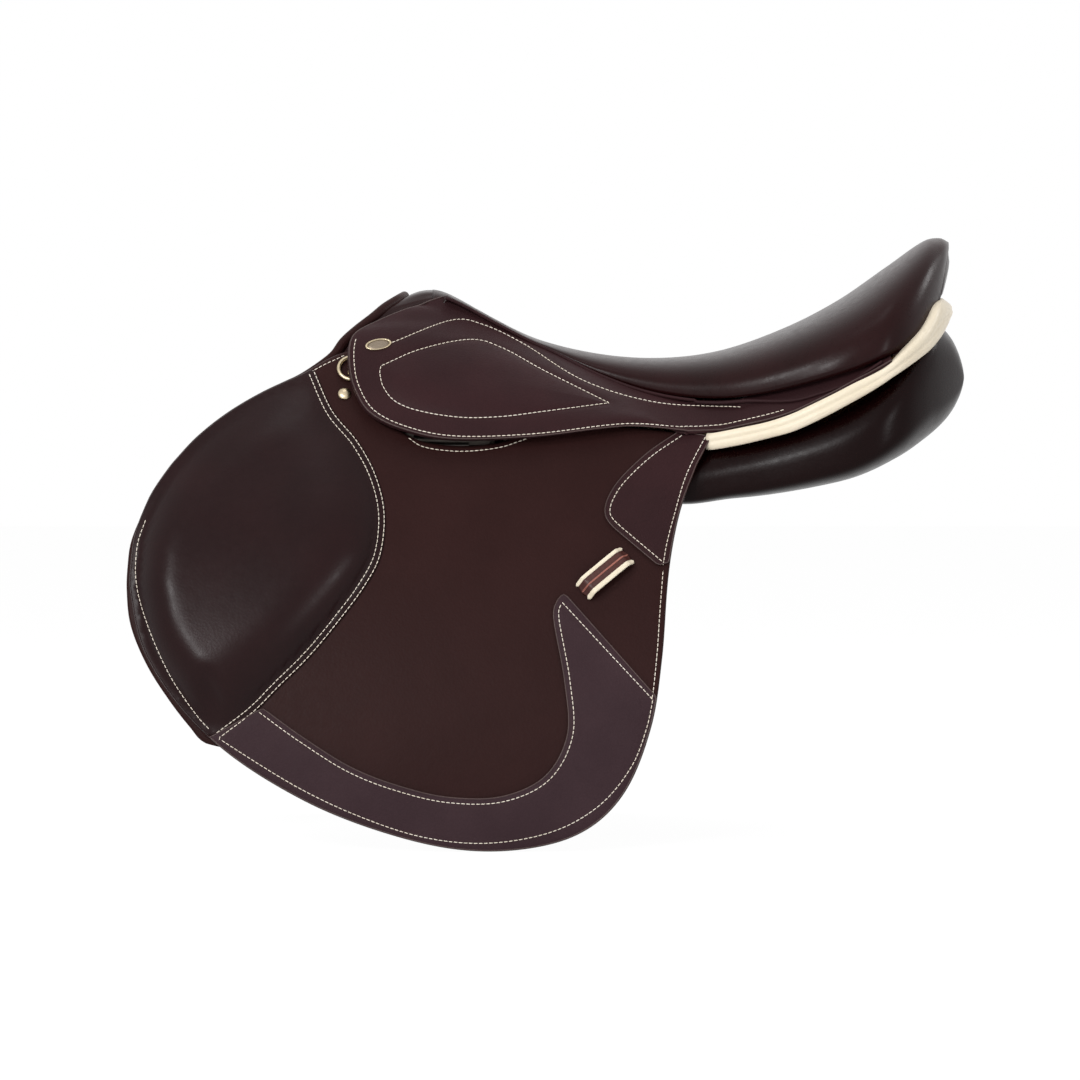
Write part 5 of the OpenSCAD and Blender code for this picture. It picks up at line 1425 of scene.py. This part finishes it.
def banded_finish(name, colour, dark, band, gloss, axis="Z"):
    """Bands of two colours, one band's width in millimetres."""
    made, tree = blank_finish(name)
    place = add_node(tree, "ShaderNodeTexCoord").outputs["Object"]
    bands = add_node(tree, "ShaderNodeTexWave", {
        "Vector": place, "Scale": BAND_PERIOD / band, "Distortion": 1.5, "Detail": 2}, bands_direction=axis)
    band_share = bands.outputs["Fac"]
    paint = add_node(tree, "ShaderNodeMix", {"Factor": band_share, "A": srgb(dark), "B": srgb(colour)},
                     data_type="RGBA")
    bump = add_node(tree, "ShaderNodeBump", {"Strength": .3, "Distance": BAND_DEEP, "Height": band_share})
    shader = add_node(tree, "ShaderNodeBsdfPrincipled", {
        "Base Color": paint.outputs["Result"], "Roughness": gloss, "Normal": bump.outputs[0]})
    add_node(tree, "ShaderNodeOutputMaterial", {"Surface": shader.outputs[0]})
    return made


# Beech veneers, glued in layers: pale stripes along the rails. Real veneers of about 1.6 mm are too
# fine to show, so they are drawn twice as thick.
beech = banded_finish("laminated_beech", "#c79d6d", "#b48656", 3.2, .5)
# Linen web, woven in ribs: dull and fibrous. Real ribs of about 2 mm are drawn twice as wide too.
webbing = banded_finish("woven_linen_web", "#b8ab90", "#9c8f74", 4.0, .85, axis="X")
print("inside: beech and linen web")

# %% [markdown]
# Now each piece gets its finish and the solids it stands for, and most get the body they move with.
# Leather that crosses a hinge could be split there, but a real flap has no gap, so it stays whole with
# its seams, and is tied to no body.

# %% Dress the middle


def dress(obj, finish):
    """Gives a piece its finish."""
    obj.data.materials.clear()
    obj.data.materials.append(finish)
    return obj


def fixed(obj, body, finish, slot, *nodes):
    """A dressed piece that moves with one body and stands for nodes."""
    dress(obj, finish)
    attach(obj, body)
    if nodes:
        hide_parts(*nodes)


fixed(seat, "body", seat_hide, "seat_leather", "seat_cover", "seat_foam")
fixed(stripe, "body", cream_hide, "cream_leather", "cantle_stripe")
fixed(cantle_back, "body", seat_hide, "seat_leather", "cantle_back")
fixed(lip, "body", flap_hide, "flap_leather", "front_lip")
fixed(facing, "body", flap_hide, "flap_leather", "front_facing")
fixed(cap, "body", seat_hide, "seat_leather", "pommel_cover")
fixed(lining, "body", panel_hide, "panel_leather", "gullet_lining")
print("middle: seat, cantle, arch and channel dressed")

# %% The skirt's fold line
FOLD_SPAN = 12
fold_middle, leaf_middle = (FOLD_A + FOLD_B) / 2, path(SKIRT_EDGE, .5)
fold_way = (FOLD_B - FOLD_A) / np.linalg.norm(FOLD_B - FOLD_A)
fold_across = leaf_middle - fold_middle
fold_across -= fold_way * (fold_across @ fold_way)
fold_across /= np.linalg.norm(fold_across)

# %% Dress both sides
for name, way in SIDES.items():
    def sided(obj):
        """The piece itself on the right, its mirror image on the left."""
        return obj if way > 0 else mirrored(obj, obj.name.replace("_right", "_left"))

    flip = np.array([1, way, 1])
    fold = dict(start=tuple((fold_middle - FOLD_SPAN * fold_across) * flip * MM),
                end=tuple((fold_middle + FOLD_SPAN * fold_across) * flip * MM))
    fixed(sided(welt), "body", skirt_hide, "skirt_leather")
    cushion = sided(panel)
    fixed(cushion, "body", panel_hide, "panel_leather", f"panel_{name}")
    fixed(sided(under_flap), "body", flap_hide, "flap_leather", f"sweat_flap_{name}")
    fixed(sided(under_facing), "body", flap_hide, "flap_leather")
    bending = [dress(sided(obj), finish) for obj, finish, slot in (
        (flap, flap_hide, "flap_leather"), (knee, knee_hide, "seat_leather"),
        (patch, skirt_hide, "skirt_leather"), (flap_thread, linen, "cream_leather"),
        (patch_edge, edge_paint_and_highlight, "skirt_leather"))]
    for obj in bending:
        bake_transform(obj)
    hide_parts(f"flap_top_{name}", f"flap_{name}")
    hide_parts(f"knee_roll_top_{name}", f"knee_roll_{name}")
    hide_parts(f"rear_guard_{name}")
    fixed(sided(guard), f"flap_{name}", guard_hide, "skirt_leather", f"flap_guard_{name}")
    fixed(sided(guard_thread), f"flap_{name}", linen, "cream_leather")
    fixed(sided(guard_edge), f"flap_{name}", edge_paint_and_highlight, "skirt_leather")
    fixed(sided(keeper_band), f"flap_{name}", keeper_hide, "strap_leather", f"keeper_{name}")
    fixed(sided(keeper_ridge), f"flap_{name}", ridge_hide, "strap_leather")
    for obj in keeper_edges:
        fixed(sided(obj), f"flap_{name}", cream_hide, "cream_leather")
    folding = [dress(sided(obj), finish) for obj, finish, slot in (
        (skirt, skirt_hide, "skirt_leather"), (skirt_thread, linen, "cream_leather"),
        (skirt_edge, edge_paint_and_highlight, "skirt_leather"))]
    for obj in folding:
        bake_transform(obj)
    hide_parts(f"skirt_tail_{name}", f"skirt_{name}")
    fixed(sided(plate), f"skirt_{name}", brass, "brass", f"skirt_plate_{name}")
    fixed(sided(plate_field), f"skirt_{name}", aged_brass, "brass")
    fixed(sided(dee), f"dee_{name}", brass, "brass", f"dee_{name}")
    fixed(sided(clip), "body", brass, "brass", f"dee_chape_{name}")
    fixed(sided(stud), "body", brass, "brass", f"stud_{name}")

print("sides: dressed")

# %% [markdown]
# The tree, the webs, the bars and the straps keep their imported solids, whose shapes are right, and only
# get their finishes.

# %% Finish the kept solids
# The steel finish on the bars is painted dark grey as shade.
KEPT = {"strap": strap_hide, "stirrup": steel, "bar": steel, "catch": steel, "head": steel, "tree": beech,
        "girth": webbing, "seat_web": webbing}
kept = 0
for name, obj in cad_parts.items():
    finish = next((f for stem, f in KEPT.items() if name.startswith(stem)), None)
    if finish:
        obj.data.materials.clear()
        obj.data.materials.append(finish)
        kept += 1
print("kept solids:", kept)
